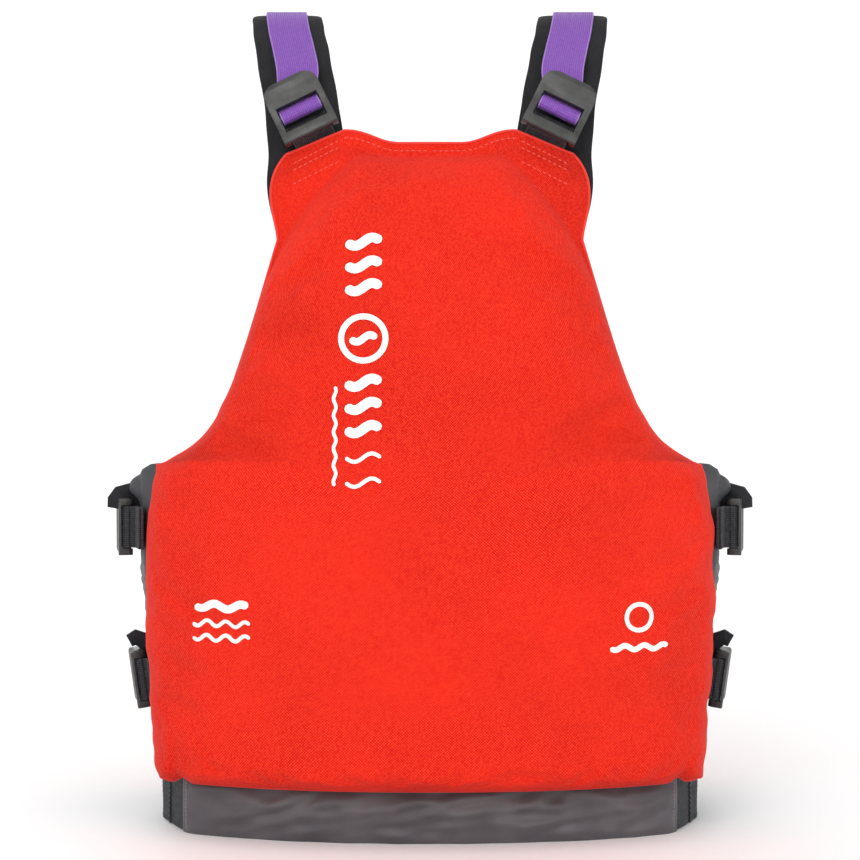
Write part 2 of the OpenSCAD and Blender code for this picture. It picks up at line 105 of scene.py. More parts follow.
def grid_faces(rows, columns, start=0, turn=False):
    faces = []
    for j in range(rows - 1):
        for i in range(columns - 1):
            a = start + j * columns + i
            face = (a, a + 1, a + columns + 1, a + columns)
            faces.append(face[::-1] if turn else face)
    return faces


def rim_index(rows, columns):
    """The points round the edge of a grid, in order."""
    return (list(range(columns)) + [j * columns + columns - 1 for j in range(1, rows)]
            + [(rows - 1) * columns + i for i in range(columns - 2, -1, -1)]
            + [j * columns for j in range(rows - 2, 0, -1)])


def slab(name, near, far, bands=()):
    """A closed piece between two grids. bands are extra loops round its edge, from near to far."""
    near, far = np.asarray(near, float), np.asarray(far, float)
    rows, columns = near.shape[:2]
    half = rows * columns
    u, v = np.meshgrid(lengths(far, 1), lengths(far, 0))
    uv = np.stack([u.ravel(), v.ravel()], 1)
    rim = rim_index(rows, columns)
    points = np.concatenate([near.reshape(-1, 3), far.reshape(-1, 3)])
    uvs = np.concatenate([uv, uv])
    faces = grid_faces(rows, columns) + grid_faces(rows, columns, half, True)
    loops = [rim]
    for band in bands:
        loops.append(list(range(len(points), len(points) + len(rim))))
        points = np.concatenate([points, band])
        uvs = np.concatenate([uvs, uv[rim]])
    loops.append([half + i for i in rim])
    for low, high in zip(loops, loops[1:]):
        for k in range(len(rim)):
            n = (k + 1) % len(rim)
            faces.append((low[n], low[k], high[k], high[n]))
    piece = make(name, points, faces, uvs)
    tidy_normals(piece)
    return piece


def thick_sheet(name, columns, rows, point, thickness):
    """A closed sheet. point(column, row) is on one face, and the other is that far back by thickness."""
    outer = np.array([[point(c, r) for c in columns] for r in rows], float)
    return slab(name, outer - np.array(thickness), outer)


def tidy_normals(piece):
    b = bmesh.new()
    b.from_mesh(piece.data)
    bmesh.ops.recalc_face_normals(b, faces=b.faces)
    b.to_mesh(piece.data)
    b.free()


def apply_all(piece):
    graph = bpy.context.evaluated_depsgraph_get()
    mesh = bpy.data.meshes.new_from_object(piece.evaluated_get(graph))
    piece.modifiers.clear()
    old = piece.data
    piece.data = mesh
    bpy.data.meshes.remove(old)
    return piece


def subdivide(piece, levels=1):
    m = piece.modifiers.new("subdivide", "SUBSURF")
    m.levels = m.render_levels = levels
    return apply_all(piece)


def join(name, pieces):
    """One object out of several, keeping their UVs."""
    with bpy.context.temp_override(active_object=pieces[0], selected_editable_objects=pieces,
                                   object=pieces[0], selected_objects=pieces):
        bpy.ops.object.join()
    pieces[0].name = name
    return pieces[0]


def flip(mesh):
    """Mirrors a mesh to the wearer's other side."""
    mesh.transform(Matrix.Scale(-1, 4, (1, 0, 0)))
    mesh.flip_normals()
    return mesh


def mirrored(piece):
    """A copy of a left piece on the wearer's right side."""
    other = bpy.data.objects.new(piece.name.replace("left", "right"), flip(piece.data.copy()))
    bpy.context.scene.collection.objects.link(other)
    return other


def finish_piece(piece, material, slot, body=None, nodes=()):
    piece.data.materials.clear()
    piece.data.materials.append(M[material])
    if body:
        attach(piece, body)
    if nodes:
        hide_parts(*nodes)
    return piece


def flipped(point, sign):
    return tuple(c * MM for c in (point[0] * sign, point[1], point[2]))


def both_sides(piece, material, slot, body=None, node=None, blend=None):
    """Finishes a left piece and its mirror image, and returns both, each with its side.

    In names, SIDE stands for left or right. blend is (body, start, end): these are not used, and a piece
    given a blend only has its placement baked into its points.
    """
    pieces = (piece, mirrored(piece))
    for part, (side, sign) in zip(pieces, SIDES.items()):
        rides = body.replace("SIDE", side) if body else None
        finish_piece(part, material, slot, rides, (node.replace("SIDE", side),) if node else ())
        if blend:
            swings, start, end = blend
            swings.replace("SIDE", side)
            flipped(start, sign)
            flipped(end, sign)
            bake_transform(part)
    return list(zip(pieces, SIDES))


# ---------------------------------------------------------------- sweeps
def profile(width, thick, corner=0.5, steps=3):
    """A rounded flat cross-section, as (across, outward) points, from 0 to thick outward."""
    r = min(corner, thick / 2 - 1e-3)
    points = []
    for cx, cy, start in ((width / 2 - r, r, -90), (width / 2 - r, thick - r, 0),
                          (r - width / 2, thick - r, 90), (r - width / 2, r, 180)):
        for k in range(steps + 1):
            a = math.radians(start + 90 * k / steps)
            points.append((cx + r * math.cos(a), cy + r * math.sin(a)))
        if start in (0, 180):
            side = 1 if start == 0 else -1
            flat = [mix(width / 2 - r, r - width / 2, i / 10) * side for i in range(1, 10)]
            points += [(x, thick if start == 0 else 0) for x in flat]
    return points


def sweep(name, stations, section):
    """Sweeps a cross-section along (centre, across, outward) stations, with its ends closed."""
    points, uvs = [], []
    for (centre, across, out), run in zip(stations, run_length([s[0] for s in stations])):
        for x, y in section:
            points.append(np.asarray(centre, float) + x * np.asarray(across) + y * np.asarray(out))
            uvs.append((x, run))
    n, m = len(section), len(stations)
    faces = [(j * n + k, j * n + (k + 1) % n, (j + 1) * n + (k + 1) % n, (j + 1) * n + k)
             for j in range(m - 1) for k in range(n)]
    faces += [tuple(range(n)), tuple((m - 1) * n + k for k in range(n))]
    piece = make(name, points, faces, uvs)
    tidy_normals(piece)
    return piece


def resample(stations, step):
    """The same run of stations with new ones every step millimetres, on a smooth curve."""
    columns = [np.array([s[k] for s in stations], float) for k in range(3)]
    d = run_length(columns[0])
    at = np.linspace(0, d[-1], max(2, int(d[-1] / step) + 1))

    def curve(values):
        tangent = np.gradient(values, d, axis=0)
        out = []
        for x in at:
            i = min(len(d) - 2, int(np.searchsorted(d, x, "right")) - 1)
            h = d[i + 1] - d[i]
            t = (x - d[i]) / h
            out.append((2 * t ** 3 - 3 * t ** 2 + 1) * values[i] + (t ** 3 - 2 * t ** 2 + t) * h * tangent[i]
                       + (-2 * t ** 3 + 3 * t ** 2) * values[i + 1] + (t ** 3 - t ** 2) * h * tangent[i + 1])
        return out
    return [(a, unit(b), unit(c)) for a, b, c in zip(*(curve(column) for column in columns))]


# ---------------------------------------------------------------- materials
class Paint:
    """A Principled material and the few nodes that its detail is made of."""

    def __init__(self, name, colour, roughness, sockets=None):
        self.material = bpy.data.materials.new(name)
        self.material.use_nodes = True
        self.tree = self.material.node_tree
        self.shader = self.tree.nodes["Principled BSDF"]
        self.shader.inputs["Base Color"].default_value = (*colour, 1)
        self.shader.inputs["Roughness"].default_value = roughness
        for key, value in (sockets or {}).items():
            self.shader.inputs[key].default_value = value
        self.height = None

    def node(self, kind, **values):
        n = self.tree.nodes.new(kind)
        for key, value in values.items():
            setattr(n, key, value)
        return n

    def link(self, a, b):
        self.tree.links.new(a, b)

    def uv(self):
        return self.node("ShaderNodeTexCoord").outputs["UV"]

    def spot(self):
        return self.node("ShaderNodeTexCoord").outputs["Object"]

    def wave(self, vector, period, direction="X", distortion=0.0):
        n = self.node("ShaderNodeTexWave", wave_type="BANDS", bands_direction=direction)
        n.inputs["Scale"].default_value = math.pi / 10 / (period * MM)
        n.inputs["Distortion"].default_value = distortion
        n.inputs["Detail Scale"].default_value = 3
        self.link(vector, n.inputs["Vector"])
        return n.outputs["Fac"]

    def grain(self, size, detail=3):
        n = self.node("ShaderNodeTexNoise")
        n.inputs["Scale"].default_value = 1 / (size * MM)
        n.inputs["Detail"].default_value = detail
        self.link(self.spot(), n.inputs["Vector"])
        return n.outputs["Fac"]

    def math(self, operation, a, b):
        n = self.node("ShaderNodeMath", operation=operation)
        for socket, value in zip(n.inputs, (a, b)):
            if isinstance(value, (int, float)):
                socket.default_value = value
            else:
                self.link(value, socket)
        return n.outputs[0]

    def spread(self, value, low, high, to_low=0.0, to_high=1.0):
        n = self.node("ShaderNodeMapRange")
        for socket, number in zip(list(n.inputs)[1:5], (low, high, to_low, to_high)):
            socket.default_value = number
        self.link(value, n.inputs[0])
        return n.outputs[0]

    def tint(self, factor, dark, light):
        """Base colour that goes from dark to light with factor. dark may be an earlier mix."""
        n = self.node("ShaderNodeMix", data_type="RGBA")
        if isinstance(dark, tuple):
            n.inputs["A"].default_value = (*dark, 1)
        else:
            self.link(dark, n.inputs["A"])
        n.inputs["B"].default_value = (*light, 1)
        self.link(factor, n.inputs["Factor"])
        self.link(n.outputs["Result"], self.shader.inputs["Base Color"])
        return n.outputs["Result"]

    def rough(self, factor, low, high):
        self.link(self.spread(factor, 0, 1, low, high), self.shader.inputs["Roughness"])

    def bump(self, height, distance, strength=1.0):
        n = self.node("ShaderNodeBump")
        n.inputs["Strength"].default_value = strength
        n.inputs["Distance"].default_value = distance * MM
        self.link(height, n.inputs["Height"])
        if self.height:
            self.link(self.height, n.inputs["Normal"])
        self.height = n.outputs["Normal"]
        self.link(self.height, self.shader.inputs["Normal"])


def weave(paint, pitch):
    """Plain weave: threads both ways that pass over and under each other."""
    place = paint.uv()
    across, along = paint.wave(place, pitch, "X"), paint.wave(place, pitch, "Y")
    over = paint.math("MULTIPLY", across, along)
    under = paint.math("MULTIPLY", paint.math("SUBTRACT", 1.0, across), paint.math("SUBTRACT", 1.0, along))
    return paint.math("ADD", over, under)


def cover_cloth():
    p = Paint("cover_cloth", (0.80, 0.022, 0.008), 0.72,
              {"Sheen Weight": 0.03, "Sheen Roughness": 0.5, "Specular IOR Level": 0.15})
    threads = weave(p, 1.55)
    fine = p.grain(1.3, 2)
    base = p.tint(p.spread(p.grain(55), 0.3, 0.7), (0.58, 0.004, 0.0015), (0.72, 0.008, 0.002))
    # Painted highlight and shade: the colour goes to a light orange red where the weave's threads rise, and
    # stays dark in the gaps between them, broken up by a fine grain.
    thread_top_highlight = p.math("MULTIPLY", threads, p.spread(fine, 0.3, 0.65, 0.45, 1.0))
    p.tint(p.spread(thread_top_highlight, 0.3, 0.75, 0.0, 0.9), base, (0.98, 0.062, 0.020))
    p.rough(fine, 0.66, 0.88)
    p.bump(threads, 0.4, 0.9)
    p.bump(p.grain(14), 0.9, 0.3)
    return p.material


def webbing(name, dark, light, edge):
    """Ribbed webbing: fine ribs along it, and a painted highlight along its edges, which stands in for their
    slightly thicker weave catching the light.
    """
    p = Paint(name, dark, 0.6, {"Sheen Weight": 0.06, "Sheen Roughness": 0.5, "Specular IOR Level": 0.3})
    place = p.uv()
    ribs, picks = p.wave(place, 1.25, "X"), p.wave(place, 1.1, "Y", 0.6)
    threads = p.math("ADD", p.math("MULTIPLY", ribs, 0.7), p.math("MULTIPLY", picks, 0.3))
    colour = p.tint(p.spread(p.math("MULTIPLY", threads, p.grain(2.2)), 0.1, 0.55), dark, light)
    split = p.node("ShaderNodeSeparateXYZ")
    p.link(place, split.inputs[0])
    # Painted highlight: near each edge of the webbing the colour goes towards the light edge colour.
    edge_highlight = p.spread(p.math("ABSOLUTE", split.outputs[0], 0), 11.4 * MM, 12.1 * MM)
    p.tint(p.math("MULTIPLY", edge_highlight, 0.55), colour, edge)
    p.rough(threads, 0.72, 0.5)
    p.bump(threads, 0.35, 0.8)
    return p.material


def nylon(name, dark, light, pitch=0.9, rough=(0.42, 0.62)):
    p = Paint(name, dark, rough[0], {"Sheen Weight": 0.05})
    threads = weave(p, pitch)
    patches = p.math("ADD", p.math("MULTIPLY", p.grain(28), 0.8), p.math("MULTIPLY", threads, 0.25))
    p.tint(p.spread(patches, 0.3, 0.8), dark, light)
    p.rough(p.grain(9), *rough)
    p.bump(threads, 0.16, 0.5)
    p.bump(p.grain(7, 4), 0.6, 0.4)
    return p.material


def ribbed_elastic():
    p = Paint("ribbed_elastic", (0.03, 0.032, 0.035), 0.65, {"Specular IOR Level": 0.3})
    place = p.uv()
    ribs = p.wave(place, 1.5, "X", 0.4)
    knit = p.wave(place, 1.0, "Y", 0.5)
    shade = p.spread(p.math("MULTIPLY", ribs, p.grain(3)), 0.05, 0.6)
    p.tint(shade, (0.012, 0.013, 0.015), (0.085, 0.09, 0.1))
    p.bump(p.math("ADD", ribs, p.math("MULTIPLY", knit, 0.3)), 0.5, 0.9)
    return p.material


def neoprene():
    p = Paint("neoprene", (0.008, 0.008, 0.009), 0.8, {"Specular IOR Level": 0.25})
    fine = p.grain(0.8, 2)
    shade = p.math("ADD", p.math("MULTIPLY", fine, 0.5), p.math("MULTIPLY", p.grain(20), 0.5))
    p.tint(p.spread(shade, 0.35, 0.65), (0.005, 0.005, 0.006), (0.016, 0.016, 0.018))
    p.rough(fine, 0.7, 0.9)
    p.bump(fine, 0.25, 0.6)
    p.bump(p.grain(10, 2), 0.7, 0.3)
    return p.material


def moulded(name, dark, light, rough=(0.3, 0.45), metallic=0.0):
    p = Paint(name, dark, rough[0], {"Metallic": metallic})
    haze = p.grain(6, 4)
    p.tint(p.spread(haze, 0.35, 0.7), dark, light)
    p.rough(p.grain(3, 4), *rough)
    p.bump(p.grain(0.5, 2), 0.05, 0.4)
    p.bump(haze, 0.15, 0.25)
    return p.material


def ink():
    p = Paint("white_ink", (0.86, 0.85, 0.83), 0.55)
    fine = weave(p, 1.7)
    shade = p.spread(p.math("MULTIPLY", fine, p.grain(1.5)), 0.0, 0.4)
    p.tint(shade, (0.70, 0.62, 0.60), (0.92, 0.91, 0.90))
    p.bump(fine, 0.2, 0.6)
    return p.material


def thread(name, dark, light):
    p = Paint(name, dark, 0.5, {"Sheen Weight": 0.4})
    twist = p.wave(p.spot(), 0.5, "DIAGONAL")
    p.tint(twist, dark, light)
    p.bump(twist, 0.1, 0.6)
    return p.material


def floor_paint():
    p = Paint("studio_floor", (0.93, 0.93, 0.93), 0.75)
    p.tint(p.spread(p.grain(300), 0.3, 0.7), (0.925, 0.925, 0.925), (0.94, 0.94, 0.94))
    return p.material


M = {
    "cover": cover_cloth(),
    "red_edge": nylon("edge_binding", (0.62, 0.012, 0.005), (0.85, 0.03, 0.012), 1.2, (0.6, 0.75)),
    # For each webbing, the last colour is the painted highlight along its edges.
    "purple": webbing("purple_webbing", (0.155, 0.052, 0.31), (0.235, 0.085, 0.43), (0.42, 0.26, 0.62)),
    "black_web": webbing("black_webbing", (0.008, 0.008, 0.010), (0.045, 0.045, 0.052), (0.05, 0.05, 0.055)),
    "sleeve": nylon("hem_nylon", (0.042, 0.038, 0.043), (0.100, 0.092, 0.100), 0.9, (0.36, 0.52)),
    "side": nylon("side_nylon", (0.018, 0.019, 0.023), (0.055, 0.058, 0.066)),
    "lining": nylon("lining_nylon", (0.018, 0.019, 0.022), (0.05, 0.053, 0.06), 0.8),
    "elastic": ribbed_elastic(),
    "neoprene": neoprene(),
    "plastic": moulded("buckle_plastic", (0.022, 0.022, 0.021), (0.046, 0.045, 0.043), (0.34, 0.5)),
    "zip": moulded("zip_plastic", (0.012, 0.012, 0.013), (0.03, 0.03, 0.032)),
    "zip_metal": moulded("zip_enamel", (0.02, 0.02, 0.022), (0.06, 0.06, 0.064), (0.25, 0.4), 0.6),
    "tape": webbing("zip_tape_weave", (0.008, 0.008, 0.009), (0.03, 0.03, 0.033), (0.03, 0.03, 0.033)),
    "ink": ink(),
    "red_thread": thread("red_thread", (0.60, 0.02, 0.012), (0.95, 0.12, 0.08)),
    "grey_thread": thread("grey_thread", (0.12, 0.10, 0.11), (0.30, 0.26, 0.28)),
}


# ---------------------------------------------------------------- the panels' outlines, as (x, z)
DEPTH, BOW, LEAN = 94, 40, 22                        # at the middle, and lost at the sides and the top
EDGE_SET, EDGE_T, PACK_T, PUFF_R = 8, 6, 34, 20      # sewn edge, foam pack and the pack's rounding
HEM_Z, NECK_Z, ZIP_TOP_Z, TOP_Z = 36, 404.5, 298, 415
HALF_WIDTH = 165
HEM_CORNER, ARMPIT, WING_ROOT, WING_TIP = (161, HEM_Z), (162, 219), (88.5, 348), (84, 399)
SEAM_TOP, NECK_STEP = (50, 412.5), (18, NECK_Z)
FRONT_HEM, FRONT_ARMPIT, FRONT_OUT, FRONT_IN = (154, HEM_Z), (154, 214), (97, 390), (57, 402)
ZIP_EDGE = 9                                         # x of each front's inner edge


def base_depth(x, z, lean_z):
    return (DEPTH - BOW * (np.abs(x) / HALF_WIDTH) ** 2.4
            - LEAN * (np.maximum(0, (z - lean_z) / (TOP_Z - lean_z))) ** 2)


def back_side(t):
    if t < 0.46:
        return bez([HEM_CORNER, (167, 95), (173, 155), ARMPIT], t / 0.46)
    if t < 0.88:
        return bez([ARMPIT, (122, 222), (112, 268), WING_ROOT], (t - 0.46) / 0.42)
    return bez([WING_ROOT, (89, 360), (101, 381), WING_TIP], (t - 0.88) / 0.12)


def back_top(s):
    if s < 0.2:
        return np.array([NECK_STEP[0] * s / 0.2, NECK_Z])
    if s < 0.6:
        return bez([NECK_STEP, (30, NECK_Z), (36, SEAM_TOP[1]), SEAM_TOP], (s - 0.2) / 0.4)
    return mix(np.array(SEAM_TOP), np.array(WING_TIP), (s - 0.6) / 0.4)


def front_side(t):
    if t < 0.48:
        return bez([FRONT_HEM, (161, 95), (163, 155), FRONT_ARMPIT], t / 0.48)
    return bez([FRONT_ARMPIT, (112, 218), (98, 270), FRONT_OUT], (t - 0.48) / 0.52)


def front_inner(t):
    if t < 0.71:
        return np.array([ZIP_EDGE, mix(HEM_Z, ZIP_TOP_Z, t / 0.71)])
    return bez([(ZIP_EDGE, ZIP_TOP_Z), (34, 300), (52, 350), FRONT_IN], (t - 0.71) / 0.29)


def between(a, b):
    """The straight line from a to b, as a function of its share."""
    return lambda t: mix(np.array(a, float), np.array(b, float), t)


def patch(inner, outer, low, high, s, t):
    """A point inside four edges, s of the way from inner to outer and t from low to high."""
    corner = mix(mix(inner(0), outer(0), s), mix(inner(1), outer(1), s), t)
    return mix(inner(t), outer(t), s) + mix(low(s), high(s), t) - corner


def back_point(s, t):
    middle, hem = between((0, HEM_Z), (0, NECK_Z)), between((0, HEM_Z), HEM_CORNER)
    p = patch(middle, back_side, hem, back_top, abs(s), t)
    return (-p[0] if s < 0 else p[0], p[1])


def front_point(s, t):
    hem, top = between((ZIP_EDGE, HEM_Z), FRONT_HEM), between(FRONT_IN, FRONT_OUT)
    return patch(front_inner, front_side, hem, top, s, t)


def spaced(count, corners=()):
    """Values from 0 to 1, closer together at both ends, with the given ones among them."""
    t = np.linspace(0, 1, count)
    t = 0.4 * t + 0.6 * (0.5 - 0.5 * np.cos(np.pi * t))
    for c in corners:
        t[np.argmin(np.abs(t - c))] = c
    return t


def to_line(points, line):
    """Distance of each point from a line of points."""
    best = np.full(len(points), 1e9)
    for a, b in zip(line, line[1:]):
        along = np.clip(((points - a) @ (b - a)) / max(1e-9, (b - a) @ (b - a)), 0, 1)
        best = np.minimum(best, np.linalg.norm(points - (a + along[:, None] * (b - a)), axis=1))
    return best


class Panel:
    """A panel's grid of (x, z), its distance from the sewn edge, and its depth."""

    def __init__(self, point, columns, rows, lean_z, side, foam_top, corners, hang=0.0):
        self.grid = np.array([[point(s, t) for s in columns] for t in rows])
        for p in self.grid.reshape(-1, 2):
            self.settle(p, side, hang)
        for corner in corners:
            for sign in (1, -1):
                self.round_corner(np.array([sign * corner[0], corner[1]], float), corner[2])
        shape = self.grid.shape[:2]
        flat = self.grid.reshape(-1, 2)
        self.rim = flat[rim_index(*shape)]
        self.rim = np.concatenate([self.rim, self.rim[:1]])
        self.edge = to_line(flat, self.rim).reshape(shape)
        self.x, self.z = self.grid[..., 0], self.grid[..., 1]
        self.distance = np.clip(soft_min(self.edge, foam_top(self.x, self.z)) + 2, 0, self.edge)
        self.base = base_depth(self.x, self.z, lean_z)
        self.lean_z, self.side = lean_z, side

    def settle(self, p, side, hang):
        """Gives a point its share of the outline's waviness, and of the hang and notches at the hem."""
        far = float(smooth((abs(p[0]) - 70) / 70)) * float(smooth((300 - p[1]) / 60))
        p[0] += math.copysign(far, p[0]) * (1.9 * wobble(p[1] / 21, math.copysign(3, p[0]), side)
                                            + 0.8 * wobble(p[1] / 8, 7, p[0] > 0))
        low = hang * (1 - float(smooth((p[1] - HEM_Z) / 45)))
        notch = 3.2 * math.exp(-((abs(p[0]) - 145) / 3.5) ** 2) * (1 - float(smooth((p[1] - HEM_Z) / 14)))
        p[1] += notch - low

    def round_corner(self, corner, radius):
        """Draws the grid in at a corner of the outline, so that it is rounded."""
        away = self.grid - corner
        near = np.exp(-(np.linalg.norm(away, axis=-1) / radius) ** 2)[..., None]
        inward = unit((-math.copysign(1, corner[0]), math.copysign(1, 190 - corner[1])))
        self.grid += near * inward * radius * 0.34

    def surface(self, offset):
        return np.stack([self.x, self.side * (self.base + offset), self.z], -1)

    def rise(self):
        low = 1 + 0.8 * smooth((90 - self.z) / 40)
        return np.sqrt(1 - (1 - np.clip(self.distance * low / PUFF_R, 0, 1)) ** 2)

    def rim_point(self, p, offset):
        return np.array([p[0], self.side * (float(base_depth(p[0], p[1], self.lean_z)) + offset), p[1]])


def soft_min(a, b, width=7.0):
    return -width * np.log(np.exp(-a / width) + np.exp(-b / width))


def back_foam_top(x, z):
    over = np.maximum(0, np.abs(x) - 38)
    return 3 + (390 - 1.3 * over * over / (over + 12) - z) / math.hypot(1, 1.3)


def noise_field(panel, size_x, size_z, seed):
    return np.array([[wobble(x / size_x, z / size_z, seed) for x, z in row] for row in panel.grid])


def cloth_relief(panel, seed):
    """Soft hollows, puckers along the sewn edge and faint creases, in millimetres."""
    away = smooth(panel.distance / 22)
    slow = 2.0 * noise_field(panel, 85, 70, seed) + 1.0 * noise_field(panel, 34, 26, seed + 5)
    pucker = noise_field(panel, 11, 11, seed + 9) * np.exp(-((panel.edge - 9) / 7) ** 2)
    creases = ((104, -0.9, 5, 20), (132, -0.8, 6, 45), (171, -0.5, 7, 60))
    crease = sum(depth * np.exp(-((panel.z - level - 0.0016 * panel.x ** 2) / width) ** 2)
                 * smooth((np.abs(panel.x) - start) / 60) for level, depth, width, start in creases)
    fold = (np.exp(-((np.abs(panel.x) - 147) / 4) ** 2) * -3.0
            + np.exp(-((np.abs(panel.x) - 138) / 3) ** 2) * -1.4) * smooth((60 - panel.z) / 18)
    return away * slow + 1.5 * pucker + away * crease + fold * smooth(panel.edge / 4)


def inflate(piece, sewn, cap):
    """Lets the cloth settle under pressure from inside. Its sewn edge is held, and cap limits each point."""
    before = np.array([v.co for v in piece.data.vertices])
    held = piece.vertex_groups.new(name="held")
    for index, value in enumerate(sewn):
        held.add([index], float(value), "REPLACE")
    m = piece.modifiers.new("cloth", "CLOTH")
    s = m.settings
    s.quality, s.mass = 5, 0.25
    s.tension_stiffness = s.compression_stiffness = s.shear_stiffness = 12
    s.bending_stiffness = 0.35
    s.use_pressure, s.uniform_pressure_force = True, 4.0
    s.effector_weights.gravity = 0
    s.shrink_min = -0.03
    s.vertex_group_mass = "held"
    s.pin_stiffness = 2
    m.collision_settings.use_collision = False
    m.point_cache.frame_start, m.point_cache.frame_end = 1, 20
    for f in range(1, 21):
        bpy.context.scene.frame_set(f)
    settled = piece.evaluated_get(bpy.context.evaluated_depsgraph_get())
    moved = np.array([v.co for v in settled.to_mesh().vertices]) - before
    settled.to_mesh_clear()
    piece.modifiers.clear()
    size = np.linalg.norm(moved, axis=1, keepdims=True)
    moved *= np.minimum(1, cap * MM / np.maximum(size, 1e-9))
    for v, p in zip(piece.data.vertices, before + moved):
        v.co = p
    piece.vertex_groups.clear()
    bpy.context.scene.frame_set(1)


def panel_pieces(panel, label, seed):
    """The foam-filled red cover and the lining behind it."""
    rise = panel.rise()
    inner = EDGE_SET * (1 - rise)
    outer = EDGE_SET + EDGE_T + (PACK_T - EDGE_SET - EDGE_T) * rise + cloth_relief(panel, seed) - 1.2 * rise
    away = [unit((p[0] - panel.x.mean(), 0, p[1] - 190)) for p in panel.rim[:-1]]
    bands = [[panel.rim_point(p, mix(EDGE_SET + 1, EDGE_SET + EDGE_T, part)) + proud * a
              for p, a in zip(panel.rim[:-1], away)]
             for part, proud in ((0.2, 0.5), (0.5, 0.8), (0.8, 0.5))]
    cover = slab(f"cover_{label}", panel.surface(inner + 1.0), panel.surface(outer), bands)
    count = panel.x.size
    sewn = np.concatenate([np.ones(count), 1 - smooth(panel.edge.ravel() / 5),
                           np.ones(len(cover.data.vertices) - 2 * count)])
    sewn[count:2 * count] = np.maximum(sewn[count:2 * count], 1 - smooth(panel.distance.ravel() / 8))
    inflate(cover, sewn, 4)
    relief = 0.5 * noise_field(panel, 22, 22, seed + 3) * rise
    lining = slab(f"lining_{label}", panel.surface(inner - 0.2 + relief), panel.surface(inner + 0.7))
    return cover, lining


def seam_cord(panel, label, radius=0.9):
    """The raised sewn edge round a panel."""
    line = [panel.rim_point(p, EDGE_SET + EDGE_T - 0.2) for p in panel.rim]
    section = [(radius * math.cos(a), radius * math.sin(a)) for a in np.linspace(0, 2 * math.pi, 7)[:-1]]
    stations = []
    for k, p in enumerate(line):
        along = unit(line[min(k + 1, len(line) - 1)] - line[max(k - 1, 0)])
        out = unit(np.cross(along, np.cross((0, panel.side, 0), along)))
        stations.append((p, np.cross(along, out), out))
    return sweep(f"seam_{label}", stations, section)


class Surface:
    """Finds points on a finished piece's outside, looking at it along Y."""

    def __init__(self, piece, side):
        self.tree = BVHTree.FromPolygons([tuple(v.co) for v in piece.data.vertices],
                                         [tuple(p.vertices) for p in piece.data.polygons])
        self.side = side

    def at(self, x, z, lift=0.0):
        ray = Vector((0, -self.side, 0))
        hit, normal, _, _ = self.tree.ray_cast(Vector((x * MM, self.side * 0.3, z * MM)), ray)
        if hit is None:
            return None, None
        if normal.y * self.side < 0:
            normal = -normal
        return np.array(hit) / MM + lift * np.array(normal), np.array(normal)


def oval(centre, along, across, length, width):
    """Eight points round an oval."""
    turns = [math.pi * k / 4 for k in range(8)]
    return [centre + along * length * math.cos(a) + across * width * math.sin(a) for a in turns]


def stitches(name, surface, lines, pitch=3.4, length=2.3, width=0.75):
    """Rows of sewn stitches along (x, z) lines on a surface: a small raised oval for each."""
    points, faces = [], []
    for line in lines:
        line = np.array(line, float)
        run = run_length(line)
        for start in np.arange(pitch / 2, run[-1] - pitch / 2, pitch):
            ends = [np.array([np.interp(start + e, run, line[:, k]) for k in (0, 1)]) for e in (0, length)]
            middle, normal = surface.at(*((ends[0] + ends[1]) / 2), 0.05)
            if middle is None:
                continue
            along = unit(np.array([ends[1][0] - ends[0][0], 0, ends[1][1] - ends[0][1]]))
            along = unit(along - normal * (along @ normal))
            across = np.cross(normal, along)
            base = len(points)
            points += oval(middle, along, across, length / 2, width / 2)
            points += oval(middle + normal * 0.4, along, across, length * 0.3, width * 0.25)
            faces += [(base + k, base + (k + 1) % 8, base + 8 + (k + 1) % 8, base + 8 + k) for k in range(8)]
            faces.append(tuple(base + 8 + k for k in range(8)))
    return make(name, points, faces)


def across_line(line):
    """A unit direction across an (x, z) line at each of its points."""
    along = np.gradient(line, axis=0)
    normal = np.stack([-along[:, 1], along[:, 0]], 1)
    return normal / np.linalg.norm(normal, axis=1, keepdims=True)


def points_along(line, at):
    run = run_length(line)
    return np.stack([np.interp(at, run, line[:, k]) for k in (0, 1)], 1)


def print_strokes(name, surface, strokes):
    """Flat printed strokes with round ends: (line of (x, z), width) each, laid on the surface."""
    points, faces, uvs = [], [], []
    for line, width in strokes:
        line = np.array(line, float)
        end = run_length(line)[-1]
        at = np.linspace(0, end, max(5, int(end / 0.7)))
        path = points_along(line, at)
        lanes = max(3, int(width / 1.1) + 1)
        closed = np.linalg.norm(line[0] - line[-1]) < 0.5
        faces += grid_faces(len(at), lanes, len(points))
        for p, n, d in zip(path, across_line(path), np.minimum(at, end - at)):
            half = width / 2
            if not closed:
                half = math.sqrt(max(0.02, half ** 2 - max(0, half - d) ** 2))
            for k in range(lanes):
                q = p + n * mix(-half, half, k / (lanes - 1))
                hit, _ = surface.at(q[0], q[1], 0.22)
                points.append(hit if hit is not None else (q[0], 0, q[1]))
                uvs.append(q)
    piece = make(name, points, faces, uvs)
    tidy_normals(piece)
    return piece


def inset_line(panel, inset, step=3):
    """An (x, z) line that follows the panel's rim, inset from it."""
    line = points_along(panel.rim, np.arange(0, run_length(panel.rim)[-1], step))
    return line + inset * across_line(line)


# ---------------------------------------------------------------- back panel
def ring(x, z, r, count=40):
    return [(x + r * math.cos(a), z + r * math.sin(a)) for a in np.linspace(0, 2 * math.pi, count)]


def ripple(x, z, length, height, waves, upright=False):
    """A wavy line from (x, z), along x or, upright, along z."""
    steps = np.linspace(0, 1, 16 * waves)
    line = [(length * t, height * math.sin(2 * math.pi * waves * t)) for t in steps]
    return [(x + b, z + a) if upright else (x + a, z + b) for a, b in line]


